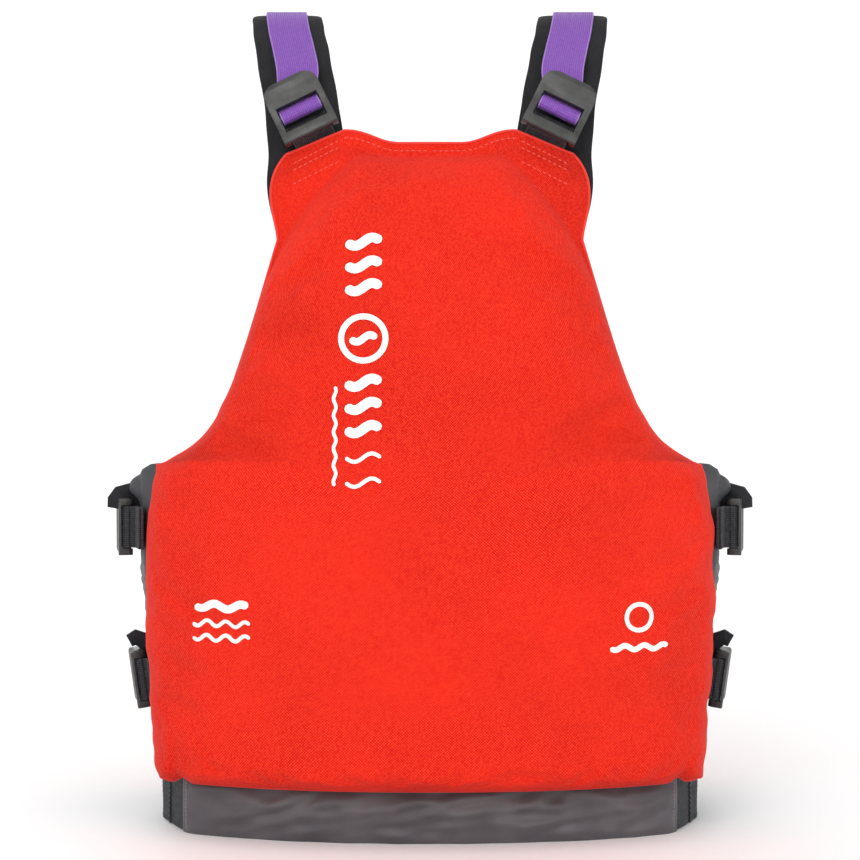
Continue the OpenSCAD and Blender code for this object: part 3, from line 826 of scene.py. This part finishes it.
def back_print():
    """Plain printed ornament: waves and rings, where the vest has its print."""
    bold = [(ripple(27.5, z, 20, 2.4, 1), 5.5) for z in (344, 331, 318, 264, 251, 238)]
    thin = [(ripple(27.5, z, 20, 2.4, 1), 2.2) for z in (222, 208)]
    badge = [(ring(37.5, 289, 12.5), 3.4), (ripple(30, 289, 15, 2.0, 1), 4.2)]
    margin = [(ripple(53.5, 206, 56, 0.7, 6, True), 2.0)]
    low_left = [(ripple(103, 137, 32, 1.5, 2), 4.6)] + [(ripple(102, z, 34, 1.6, 3), 2.2) for z in (127, 119)]
    low_right = [(ring(-119, 131, 7.5), 2.6), (ripple(-136, 114, 34, 1.2, 3), 3.2)]
    return bold + thin + badge + margin + low_left + low_right


def build_back():
    half = np.sin(np.linspace(0, math.pi / 2, 47))
    half[np.argmin(np.abs(half - 0.6))] = 0.6
    columns = np.concatenate([-half[:0:-1], half])
    panel = Panel(back_point, columns, spaced(112, (0.46, 0.88)), 200, 1, back_foam_top,
                  ((*ARMPIT, 9), (161, HEM_Z - 5, 5)), 5)
    cover, lining = panel_pieces(panel, "back", 1.5)
    subdivide(cover)
    surface = Surface(cover, 1)
    finish_piece(cover, "cover", "cover_fabric", "back", ("back_cover", "back_foam"))
    finish_piece(lining, "lining", "lining", "back", ("back_liner",))
    finish_piece(seam_cord(panel, "back"), "red_edge", "cover_fabric", "back")
    rows = [[(s * mix(50, 82, t), mix(412.5, 397, t) - drop) for t in np.linspace(0.06, 0.94, 12)]
            for s in (1, -1) for drop in (4.5, 8.5, 17)]
    neck = [back_top(t) for t in np.linspace(0, 0.6, 20)]
    rows += [[(s * p[0], p[1] - 4.5) for p in neck] for s in (1, -1)]
    finish_piece(stitches("stitches_back", surface, rows), "red_thread", "cover_fabric", "back")
    finish_piece(print_strokes("print_back", surface, back_print()), "ink", "cover_fabric", "back")


def front_foam_top(x, z):
    return 374 - z


def build_front():
    """The left front panel and its mirror image."""
    panel = Panel(front_point, spaced(58), spaced(104, (0.48, 0.71)), ZIP_TOP_Z, -1,
                  front_foam_top, ((*FRONT_ARMPIT, 9), (*FRONT_HEM, 5)))
    cover, lining = panel_pieces(panel, "front_left", 7.5)
    subdivide(cover)
    surface = Surface(cover, -1)
    seam = seam_cord(panel, "front_left")
    top = between((58, 402), (96, 390))
    rows = [inset_line(panel, 4.0)]
    rows += [[top(t) - (0, drop) for t in np.linspace(0.06, 0.94, 10)] for drop in (5, 9, 17)]
    pieces = [cover, lining, seam, stitches("stitches_front_left", surface, rows)]
    for side in SIDES:
        if side == "right":
            pieces = [mirrored(p) for p in pieces]
        looks = (("cover", "cover_fabric", (f"front_cover_{side}", f"front_foam_{side}")),
                 ("lining", "lining", (f"front_liner_{side}",)),
                 ("red_edge", "cover_fabric", ()), ("red_thread", "cover_fabric", ()))
        for piece, (material, slot, nodes) in zip(pieces, looks):
            finish_piece(piece, material, slot, f"front_{side}", nodes)


# ---------------------------------------------------------------- moulded parts
def moulded_piece(node, body, material, slot, bevel):
    """The CAD solid with its edges rounded, as the moulding that is seen."""
    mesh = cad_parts[node].data.copy()
    piece = bpy.data.objects.new(f"{node}_moulding", mesh)
    bpy.context.scene.collection.objects.link(piece)
    b = bmesh.new()
    b.from_mesh(mesh)
    bmesh.ops.remove_doubles(b, verts=b.verts, dist=1e-6)
    bmesh.ops.dissolve_limit(b, angle_limit=math.radians(1.5), verts=b.verts, edges=b.edges)
    b.to_mesh(mesh)
    b.free()
    m = piece.modifiers.new("bevel", "BEVEL")
    m.width, m.segments, m.limit_method, m.angle_limit = bevel * MM, 2, "ANGLE", math.radians(35)
    m.use_clamp_overlap = True
    apply_all(piece)
    piece.data.polygons.foreach_set("use_smooth", [True] * len(piece.data.polygons))
    piece.data.set_sharp_from_angle(angle=math.radians(50))
    finish_piece(piece, material, slot, body, (node,))


def lock_moulding(node):
    moulded_piece(node, node, "plastic", "buckle_plastic", 0.6)


# ---------------------------------------------------------------- sides, shoulders and locks as places
WEB_W, WEB_T = 25, 1.6
SIDE_LEVELS = {"lower": 88, "upper": 179}            # z of the side straps
SIDE_BOW, SIDE_REACH = 18, 84                        # how far the side curves in, and over what depth
ARCH_REACH, ARCH_RISE, ARCH_FOOT_Z, ARCH_TOP_X = 69, 92, 400, 89.5
STRAP_LIFT = 5.5                                     # from the arch up to the straps on the pads
BAR_Y, ROLL_R, TAB_R = 13.2, 1.95, 2.32              # a lock's wrap bar, and the webbing's inner radii
SIDE_BEND = (175, -6, 120), (170, -60, 120)          # two points by the side pieces, passed on with a front's name
SHOULDER_BEND = (89, -3, 480), (80, -64, 470)        # and two by the pads and shoulder straps


def side_x(y, z):
    return mix(166, 181, float(smooth((z - 25) / 150))) - SIDE_BOW * (y / SIDE_REACH) ** 2


def side_axes(y, z):
    """Upward, forward and outward directions on the wearer's left side."""
    up = unit((side_x(y, z + WEB_W / 2) - side_x(y, z - WEB_W / 2), 0, WEB_W))
    out = unit((1, 2 * SIDE_BOW * y / SIDE_REACH ** 2, 0))
    forward = unit((out[1], -out[0], 0))
    face = unit(np.cross(up, forward))
    return np.cross(forward, face), forward, face


def arch_point(a):
    """A point of the arch over the shoulder, a degrees from its foot on the back."""
    foot = 74.5 if a < 90 else 77
    s = math.sin(math.radians(a))
    return np.array([mix(foot, ARCH_TOP_X, s ** 1.6), ARCH_REACH * math.cos(math.radians(a)),
                     ARCH_FOOT_Z + ARCH_RISE * s])


def arch_station(a):
    r = math.radians(a)
    out = unit((0, ARCH_RISE * math.cos(r), ARCH_REACH * math.sin(r)))
    along = unit(arch_point(min(180, a + 2)) - arch_point(max(0, a - 2)))
    across = unit(np.cross(out, along))
    return arch_point(a), across, np.cross(along, across)


def lifted(station, amount):
    return station[0] + amount * station[2], station[1], station[2]


def moved_in(station, amount):
    return station[0] - np.array((amount, 0, 0)), station[1], station[2]


class Place:
    """A ladder-lock's own frame: x across the webbing, y towards the strap, z away from the wearer."""

    def __init__(self, origin, across, along, out):
        self.origin, self.across = np.array(origin, float), np.array(across, float)
        self.along, self.out = np.array(along, float), np.array(out, float)

    def at(self, x, y, z):
        return self.origin + x * self.across + y * self.along + z * self.out

    def station(self, y, z, turn, x=0.0):
        """A point of a strap's bar side, with its outer side turned that many degrees from +y."""
        t = math.radians(turn)
        return self.at(x, y, z), self.across, math.cos(t) * self.along + math.sin(t) * self.out


def shoulder_place():
    return Place((69.7, 86, 412.5), (-0.89998, 0, 0.43593), (0.42476, -0.22495, 0.87691),
                 (0.09806, 0.97437, 0.20245))


def side_place(z):
    up, forward, face = side_axes(44, z)
    return Place(np.array([side_x(44, z), 44, z]) + 7.1 * face, up, forward, face)


def roll_path(place, tail):
    """A strap's run at the lock, from its free end, round the wrap bar, to where it leaves the lever."""
    stations = [place.station(*t) for t in reversed(tail)]
    stations += [place.station(14.6, -4.0, 245), place.station(12.9, -2.75, 232)]
    for a in range(225, 49, -25):
        r = math.radians(a)
        stations.append(place.station(BAR_Y + ROLL_R * math.cos(r), ROLL_R * math.sin(r), a))
    stations += [place.station(16.0, 0.4, 42), place.station(17.3, -1.3, 40), place.station(18.7, -3.0, 55),
                 place.station(20.4, -3.9, 80), place.station(24, -4.0, 90, 1.4)]
    return stations


def same_way(stations):
    """The same stations, with each one's across direction on the side of the one before."""
    out = [stations[0]]
    for p, a, o in stations[1:]:
        out.append((p, a if np.dot(a, out[-1][1]) > 0 else -np.asarray(a), o))
    return out


def dense(stations, step):
    """Straight pieces between stations cut short enough to bend smoothly."""
    out = []
    for (p, a, o), (q, b, w) in zip(stations, stations[1:]):
        count = max(1, int(np.linalg.norm(q - p) / step))
        for k in range(count):
            t = k / count
            out.append((mix(p, q, t), unit(mix(a, b, t)), unit(mix(o, w, t))))
    return out + [stations[-1]]


def strap_section():
    """Flat webbing of even thickness with rounded edges."""
    return profile(WEB_W, WEB_T, 0.55)


def tab_piece(name, place, tail, tuck=0.0):
    """Black webbing sewn flat, with a loop round the lock's fixed bar and its end folded under the window."""
    low = [place.station(9.5, -4.9, 90), place.station(5, -4.9, 90), place.station(-2, -4.95, 90),
           place.station(-tail, -4.95 - tuck, 90)]
    flat = sweep(name + "_end", dense([lifted(s, -1.6) for s in low], 0.8), strap_section())
    turns = [math.radians(a) for a in range(250, -81, -15)]
    loop = [place.station(TAB_R * math.cos(r), TAB_R * math.sin(r), math.degrees(r)) for r in turns]
    loop = sweep(name, dense(loop, 0.8), profile(WEB_W, 1.3, 0.5))
    leg = [place.station(-tail, -4.85 - tuck, 90), place.station(-4.6, -4.85 - tuck / 2, 92),
           place.station(-2.6, -4.2, 125), place.station(-2.0, -2.4, 150)]
    leg = sweep(name + "_leg", dense(leg, 0.8), profile(WEB_W, 1.4, 0.5))
    return join(name, [flat, loop, leg])


# ---------------------------------------------------------------- shoulders
def pad_section(width, thick):
    """A soft pad's cross-section: rounded, slightly thicker in the middle."""
    points = []
    for k in range(40):
        a = 2 * math.pi * k / 40
        c, s = math.cos(a), math.sin(a)
        x = width / 2 * math.copysign(abs(c) ** 0.35, c)
        y = thick / 2 * (1 + math.copysign(abs(s) ** 0.6, s))
        points.append((x, y))
    return points


def shoulder_tail(a, lean, length=15):
    """A station below an end of the arch, leaning away from it."""
    _, across, out = arch_station(a)
    return arch_point(a) + length * unit((0, lean if a < 90 else -lean, -1)), across, out


def build_pads():
    line = [moved_in(shoulder_tail(0, 0.1, 43), 4.8), shoulder_tail(0, 0.1, 20)]
    line += [arch_station(a) for a in range(0, 181, 12)] + [shoulder_tail(180, 0.2)]
    pad = sweep("shoulder_pad_left", resample(line, 3), pad_section(43, 5.0))
    for v in pad.data.vertices:
        x, y, z = (c / MM for c in v.co)
        v.co += Vector((wobble(y / 20, z / 20, 3), 0.4 * wobble(x / 9, z / 14), 0)) * 0.9 * MM
    bend = ("front_SIDE", *SHOULDER_BEND)
    for piece, _ in both_sides(pad, "neoprene", "neoprene", None, "shoulder_pad_SIDE", bend):
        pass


def build_shoulders():
    build_pads()
    place = shoulder_place()
    rear = dense(roll_path(place, ((17, -4.5, 262), (20, -4.6, 270), (25, -4.6, 270))), 0.7)
    _, across, out = arch_station(38)
    edge = (place.at(6.5, 34, -4.3), unit(mix(across, -place.across, 0.3)), unit(mix(out, place.out, 0.6)))
    over = [rear[-1], edge, moved_in(lifted(arch_station(42), 6.3), 0.7)]
    over += [lifted(arch_station(a), STRAP_LIFT) for a in (54, 61, 68, 76, 84, 92)]
    strap = sweep("shoulder_strap_rear_left", rear[:-1] + resample(same_way(over), 2.5), strap_section())
    both_sides(strap, "purple", "shoulder_webbing", None, "shoulder_strap_SIDE",
               ("shoulder_lock_SIDE", arch_point(70), place.at(0, 36, 0)))
    front = [arch_station(a) for a in range(92, 181, 8)] + [shoulder_tail(180, 0.2, 20)]
    front = resample([lifted(s, STRAP_LIFT) for s in front], 2.5)
    both_sides(sweep("shoulder_strap_front_left", front, strap_section()), "purple", "shoulder_webbing",
               blend=("front_SIDE", *SHOULDER_BEND))
    both_sides(tab_piece("shoulder_tab_loop_left", place, 7.6, 3.4), "black_web", "black_webbing", "back",
               "shoulder_tab_SIDE")
    for side in SIDES:
        lock_moulding(f"shoulder_lock_{side}")


# ---------------------------------------------------------------- sides
def side_cloth_point(y, t):
    """A point of the gathered side fabric, t of the way up, kept in behind the straps and at the hem."""
    z = mix(27, 218, t) - 22 * float(smooth((t - 0.55) / 0.45)) * (1 - min(1, (y / 66) ** 2))
    x = side_x(min(58, max(-58, y)), z) - 1.15 * max(0, y - 58) - 1.5 * max(0, -58 - y)
    pinned = float(smooth((70 - abs(y)) / 18))
    folds = 2.2 * abs(wobble(y / 34 + 3, z / 7.5, 2)) + 1.2 * wobble(y / 60, z / 15, 8)
    top = (float(smooth((z - 192) / 10)) * float(smooth((t * 191 - 163) / 10))
           * 7.0 * abs(math.sin(y / 9.5 + 0.4)) ** 0.8)
    out = min(7.5, max(-3.0, (folds + top - 1.5) * (0.35 + 0.65 * pinned) - 0.6 * (1 - pinned)))
    to_strap = min(abs(z - level) for level in SIDE_LEVELS.values())
    if to_strap < 19:
        out = mix(out, min(out, -0.9), 1 - max(0, min(1, (to_strap - 13) / 6)))
    return x + out - 3.2 * float(smooth((40 - z) / 6)), y, z


def side_sheet():
    """The side fabric, from under the back panel's edge to under the front's."""
    ys = np.concatenate([[70, 65], np.linspace(60, -58, 44), [-63, -67]])
    return thick_sheet("side_panel_cloth_left", ys, np.linspace(0, 1, 70), side_cloth_point, (0.8, 0, 0))


def side_strap_run(z):
    stations = []
    for y in (6, -8, -22, -36, -48, -58):
        up, _, face = side_axes(y, z)
        stations.append((np.array([side_x(y, z), y, z]) + 0.6 * face, up, face))
    return stations


def build_sides():
    bend = ("front_SIDE", *SIDE_BEND)
    for piece, side in both_sides(side_sheet(), "side", "side_fabric", None, "side_panel_SIDE", bend):
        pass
    for level, z in SIDE_LEVELS.items():
        build_side_strap(level, side_place(z), side_strap_run(z))


def build_side_strap(level, place, run):
    """One level's lock with its strap, free end and tab, on both sides."""
    black = ("black_web", "black_webbing")
    rear = dense(roll_path(place, ((17, -4.4, 262), (20, -4.5, 268), (24, -4.6, 268))), 0.7)
    over = resample(same_way([rear[-1], place.station(34, -4.0, 90)] + run[:3]), 2)
    strap = sweep(f"side_strap_rear_{level}_left", rear[:-1] + over, strap_section())
    both_sides(strap, *black, None, f"side_strap_{level}_SIDE",
               (f"side_lock_{level}_SIDE", place.at(0, 50, 0), place.at(0, 36, 0)))
    point, across, out = run[-1]
    tucked = [(point + (-5.0, -5.0, 0), across, unit(out + (0, -0.5, 0))),
              (point + (-13.0, -8.5, 0), across, unit((0.5, -0.85, 0)))]
    front = sweep(f"side_strap_front_{level}_left", resample(run[1:] + tucked, 2), strap_section())
    both_sides(front, *black, blend=("front_SIDE", *SIDE_BEND))
    length, tuck = (23, 1.6) if level == "upper" else (17, 0.0)
    both_sides(tab_piece(f"side_tab_loop_{level}_left", place, length, tuck), *black, "back",
               f"side_tab_{level}_SIDE")
    both_sides(free_end(level, place), *black, f"side_lock_{level}_SIDE")
    for side in SIDES:
        lock_moulding(f"side_lock_{level}_{side}")


def free_end(level, place):
    """The strap's free end, which stands up behind the upper lock and curls over above the lower one."""
    if level == "upper":
        points = [((8, 15, -7.2), 0.3), ((13, 14, -7.2), 0.5), ((17.5, 13, -5.5), 0.6),
                  ((19.8, 12, -1.0), 0.56), ((18.8, 11, 4.0), 0.5), ((15.5, 10.5, 7.0), 0.42),
                  ((11, 10, 7.9), 0.32)]
    else:
        points = [((12, 15, -7.0), 0.3), ((17, 14, -6.6), 0.36), ((22, 13, -4.0), 0.42),
                  ((24.5, 12, 0.5), 0.42), ((23, 11, 4.6), 0.34)]
    line = np.array([p for p, _ in points], float)
    axes = np.array([place.across, place.along, place.out])
    stations = []
    for p, d, (_, wide) in zip(line, np.gradient(line, axis=0), points):
        # Its width lies mostly along the webbing's run, so that it is seen from behind.
        side = unit((-d[2], 0.9, d[0]))
        stations.append((place.at(*p), wide * unit(side @ axes), unit(unit(np.cross(d, side)) @ axes)))
    stations = same_way(stations)
    fine = []
    for (p, w, o), (q, v, u) in zip(stations, stations[1:]):
        fine += [(mix(p, q, k / 5), mix(w, v, k / 5), unit(mix(o, u, k / 5))) for k in range(5)]
    return sweep(f"side_free_end_{level}_left", fine + [stations[-1]], profile(24, 1.5, 0.5))


# ---------------------------------------------------------------- hem
def hem_y(x):
    return float(base_depth(x, 0, ZIP_TOP_Z)) + EDGE_SET


def hem_sheet(name, xs, zs, offset, relief, thick, side=1):
    """A sheet that follows the hem round the back, or round the front where side is -1."""
    def point(x, z):
        return x, side * (hem_y(x) + offset + thick + relief(x, z)), z
    return thick_sheet(name, xs, zs, point, (0, side * thick, 0))


def corner_turn(x):
    """How far the hem falls back as it turns the corner to the side."""
    return -24 * (max(0, abs(x) - 139) / 19) ** 1.8


def sleeve_relief(x, z):
    """A filled sleeve of thin nylon: round from top to bottom, with slanting wrinkles."""
    t = z / 35
    full = 3.6 * math.sin(math.pi * min(1, max(0, t))) ** 0.9
    folds = 3.4 * wobble((x - 1.6 * z) / 26, (z + 0.25 * x) / 8, 4) + wobble((x + 0.8 * z) / 12, z / 8, 9)
    ends = float(smooth((146 - abs(x)) / 12))
    full *= float(smooth((36 - z) / 13))
    folds *= float(smooth((38 - z) / 10)) * ends * math.sin(math.pi * min(1, max(0.06, t))) ** 0.5
    return full * (0.5 + 0.5 * ends) + folds + corner_turn(x)


def band_relief(x, z):
    return 0.35 * math.sin(z * 2.1) + 0.3 * wobble(x / 18, z / 12) + corner_turn(x)


def front_band_relief(x, z):
    return (1.6 * math.sin(math.pi * min(1, z / 36)) ** 0.6
            + 0.9 * wobble(x / 16 + 9, z / 10, 2) * float(smooth((152 - x) / 10)))


def side_elastic_point(y, z):
    relief = 0.35 * math.sin(z * 2.1) + 0.5 * wobble(y / 22, z / 15, 6)
    x = side_x(max(-58, min(60, y)), 17) - 3.0 * float(smooth((y - 32) / 14)) - 1.3 * max(0, -58 - y)
    return x + relief, y, z


def build_hem():
    xs = np.concatenate([[-146, -145], np.linspace(-143, 143, 160), [145, 146]])
    sleeve = hem_sheet("waist_sleeve_cloth", xs, np.linspace(0, 40, 34), 2.0, sleeve_relief, 1.0)
    subdivide(sleeve)
    finish_piece(sleeve, "sleeve", "hem_nylon", "back", ("waist_sleeve",))
    rows = [[(s * (144 - 1.2 * (k % 2)), z) for k, z in enumerate(np.arange(2, 34, 1.5))] for s in (1, -1)]
    sewn = stitches("stitches_sleeve", Surface(sleeve, 1), rows, 3.0, 2.2, 0.6)
    finish_piece(sewn, "grey_thread", "hem_nylon", "back")
    band = hem_sheet("waist_elastic_band", np.linspace(-158, 158, 120), np.linspace(1, 36, 60), 0.0,
                     band_relief, 1.8)
    finish_piece(band, "elastic", "elastic", "back", ("waist_elastic_back",))
    ys = np.concatenate([np.linspace(50, -60, 56), [-64, -68, -71]])
    run = thick_sheet("waist_elastic_side_left", ys, np.linspace(1, 34, 56), side_elastic_point, (1.8, 0, 0))
    both_sides(run, "elastic", "elastic", None, "waist_elastic_SIDE", ("front_SIDE", *SIDE_BEND))
    front = hem_sheet("waist_band_cloth_left", np.linspace(46, 152, 90), np.linspace(0, 38, 30), 0.4,
                      front_band_relief, 1.0, -1)
    for piece, side in both_sides(front, "sleeve", "hem_nylon", "front_SIDE", "waist_band_SIDE"):
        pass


BELT_Z, UP = 17.5, np.array([0, 0, 1.0])


def belt_station(x):
    slope = (hem_y(x + 1) - hem_y(x - 1)) / 2
    return np.array([x, -(hem_y(x) + 6.4), BELT_Z]), UP, unit((-slope, -1, 0))


def build_belt():
    """The waist belt on each front, round its half of the buckle."""
    for side, loop_x in (("left", 39), ("right", 36)):
        stations = [belt_station(x) for x in (106, 92, 78, 66, 56)]
        stations += [(np.array([48, -104.6, BELT_Z]), UP, np.array([0, -1.0, 0])),
                     (np.array([loop_x, -108.2, BELT_Z]), UP, unit((-0.2, -1, 0)))]
        belt = sweep(f"waist_belt_web_{side}", resample(stations, 2), strap_section())
        if side == "right":
            flip(belt.data)
        finish_piece(belt, "black_web", "black_webbing", f"front_{side}", (f"waist_belt_{side}",))
    moulded_piece("waist_buckle_socket", "front_left", "plastic", "buckle_plastic", 0.7)
    moulded_piece("waist_buckle_plug", "waist_plug", "plastic", "buckle_plastic", 0.6)


# ---------------------------------------------------------------- zip
ZIP_Y, TOOTH_PITCH = -105, 3.4


def tape_point(x, z):
    return x, ZIP_Y - 0.35 + 0.25 * wobble(x, z / 14), z


def build_zip():
    tape = thick_sheet("zip_tape_cloth_left", (2.2, 4, 6, 8, 9.6, 12), np.linspace(47, 286, 100), tape_point,
                       (0, -0.7, 0))
    both_sides(tape, "tape", "zip_tape", "front_SIDE", "zip_tape_SIDE")
    for side, start in (("left", 58.5), ("right", 60.2)):
        points, faces = [], []
        for z in np.arange(start, 283.5, TOOTH_PITCH):
            tooth(points, faces, SIDES[side], z)
        piece = make(f"zip_teeth_row_{side}", points, faces, flat=True)
        tidy_normals(piece)
        finish_piece(piece, "zip", "zip_plastic", f"front_{side}", (f"zip_teeth_{side}",))
    moulded_piece("zip_box", "front_left", "zip", "zip_plastic", 0.4)
    moulded_piece("zip_pin", "front_right", "zip", "zip_plastic", 0.3)
    moulded_piece("zip_slider", "zip_slider", "zip_metal", "zip_metal", 0.25)
    moulded_piece("zip_pull", "zip_pull", "zip_metal", "zip_metal", 0.3)


def tooth(points, faces, sign, z):
    """One moulded zip tooth: a body on the tape's edge and a narrower head towards the middle."""
    base = len(points)
    for x, y, up in ((3.6, 1.3, 0.9), (2.0, 1.3, 0.9), (1.6, 1.1, 0.6), (1.0, 1.1, 1.05), (0.62, 0.8, 0.8)):
        points += [(sign * x, ZIP_Y + a * y, z + b * up) for a, b in ((-1, -1), (1, -1), (1, 1), (-1, 1))]
    for k in range(4):
        for e in range(4):
            a, b = base + 4 * k + e, base + 4 * k + (e + 1) % 4
            faces.append((a, b, b + 4, a + 4))
    faces += [tuple(range(base, base + 4)), tuple(range(base + 16, base + 20))]


# ---------------------------------------------------------------- the stage
def build_floor():
    """A round floor that curves up into a wall, so that no edge shows."""
    line = [(0.001, 0.0), (0.8, 0.0)]
    line += [(2.2 + 1.1 * math.sin(a), 1.1 - 1.1 * math.cos(a)) for a in np.linspace(0, math.pi / 2, 16)]
    line.append((3.3, 2.4))
    turns = [2 * math.pi * k / 96 for k in range(97)]
    points = [(r * math.cos(a) / MM, r * math.sin(a) / MM, z / MM) for r, z in line for a in turns]
    floor = make("studio_floor", points, grid_faces(len(line), len(turns)))
    floor.data.materials.append(floor_paint())


def build_light(name, place, size, power, target):
    light = bpy.data.lights.new(name, "AREA")
    light.energy, light.size = power, size
    lamp = bpy.data.objects.new(name, light)
    lamp.location = place
    lamp.rotation_euler = (Vector(target) - Vector(place)).to_track_quat("-Z", "Y").to_euler()
    bpy.context.scene.collection.objects.link(lamp)


def build_stage():
    build_floor()
    world = bpy.data.worlds.new("studio")
    world.use_nodes = True
    background = world.node_tree.nodes["Background"]
    background.inputs["Color"].default_value = (1, 1, 1, 1)
    background.inputs["Strength"].default_value = 0.56
    bpy.context.scene.world = world
    vest, wall = (0, 0, 0.25), (0, -3.3, 1.2)
    build_light("key", (0.7, 2.2, 1.5), 1.3, 27, vest)
    build_light("fill", (-1.3, 2.0, 1.0), 1.5, 12, vest)
    build_light("top", (0.0, 0.2, 2.3), 1.8, 11, vest)
    build_light("front", (0.4, -2.2, 1.5), 1.5, 14, vest)
    build_light("wall", (0.0, -1.6, 2.3), 1.6, 16, wall)


def build_camera():
    bpy.context.scene.view_settings.view_transform = "Standard"
    camera = bpy.data.cameras.new("camera")
    camera.lens, camera.sensor_width = 78.7, 36
    eye = bpy.data.objects.new("camera", camera)
    eye.location = (0, 1.183, 0.2375)
    eye.rotation_euler = (math.pi / 2, 0, math.pi)
    bpy.context.scene.collection.objects.link(eye)
    bpy.context.scene.camera = eye


build_camera()
build_stage()
build_back()
build_front()
build_shoulders()
build_sides()
build_hem()
build_belt()
build_zip()
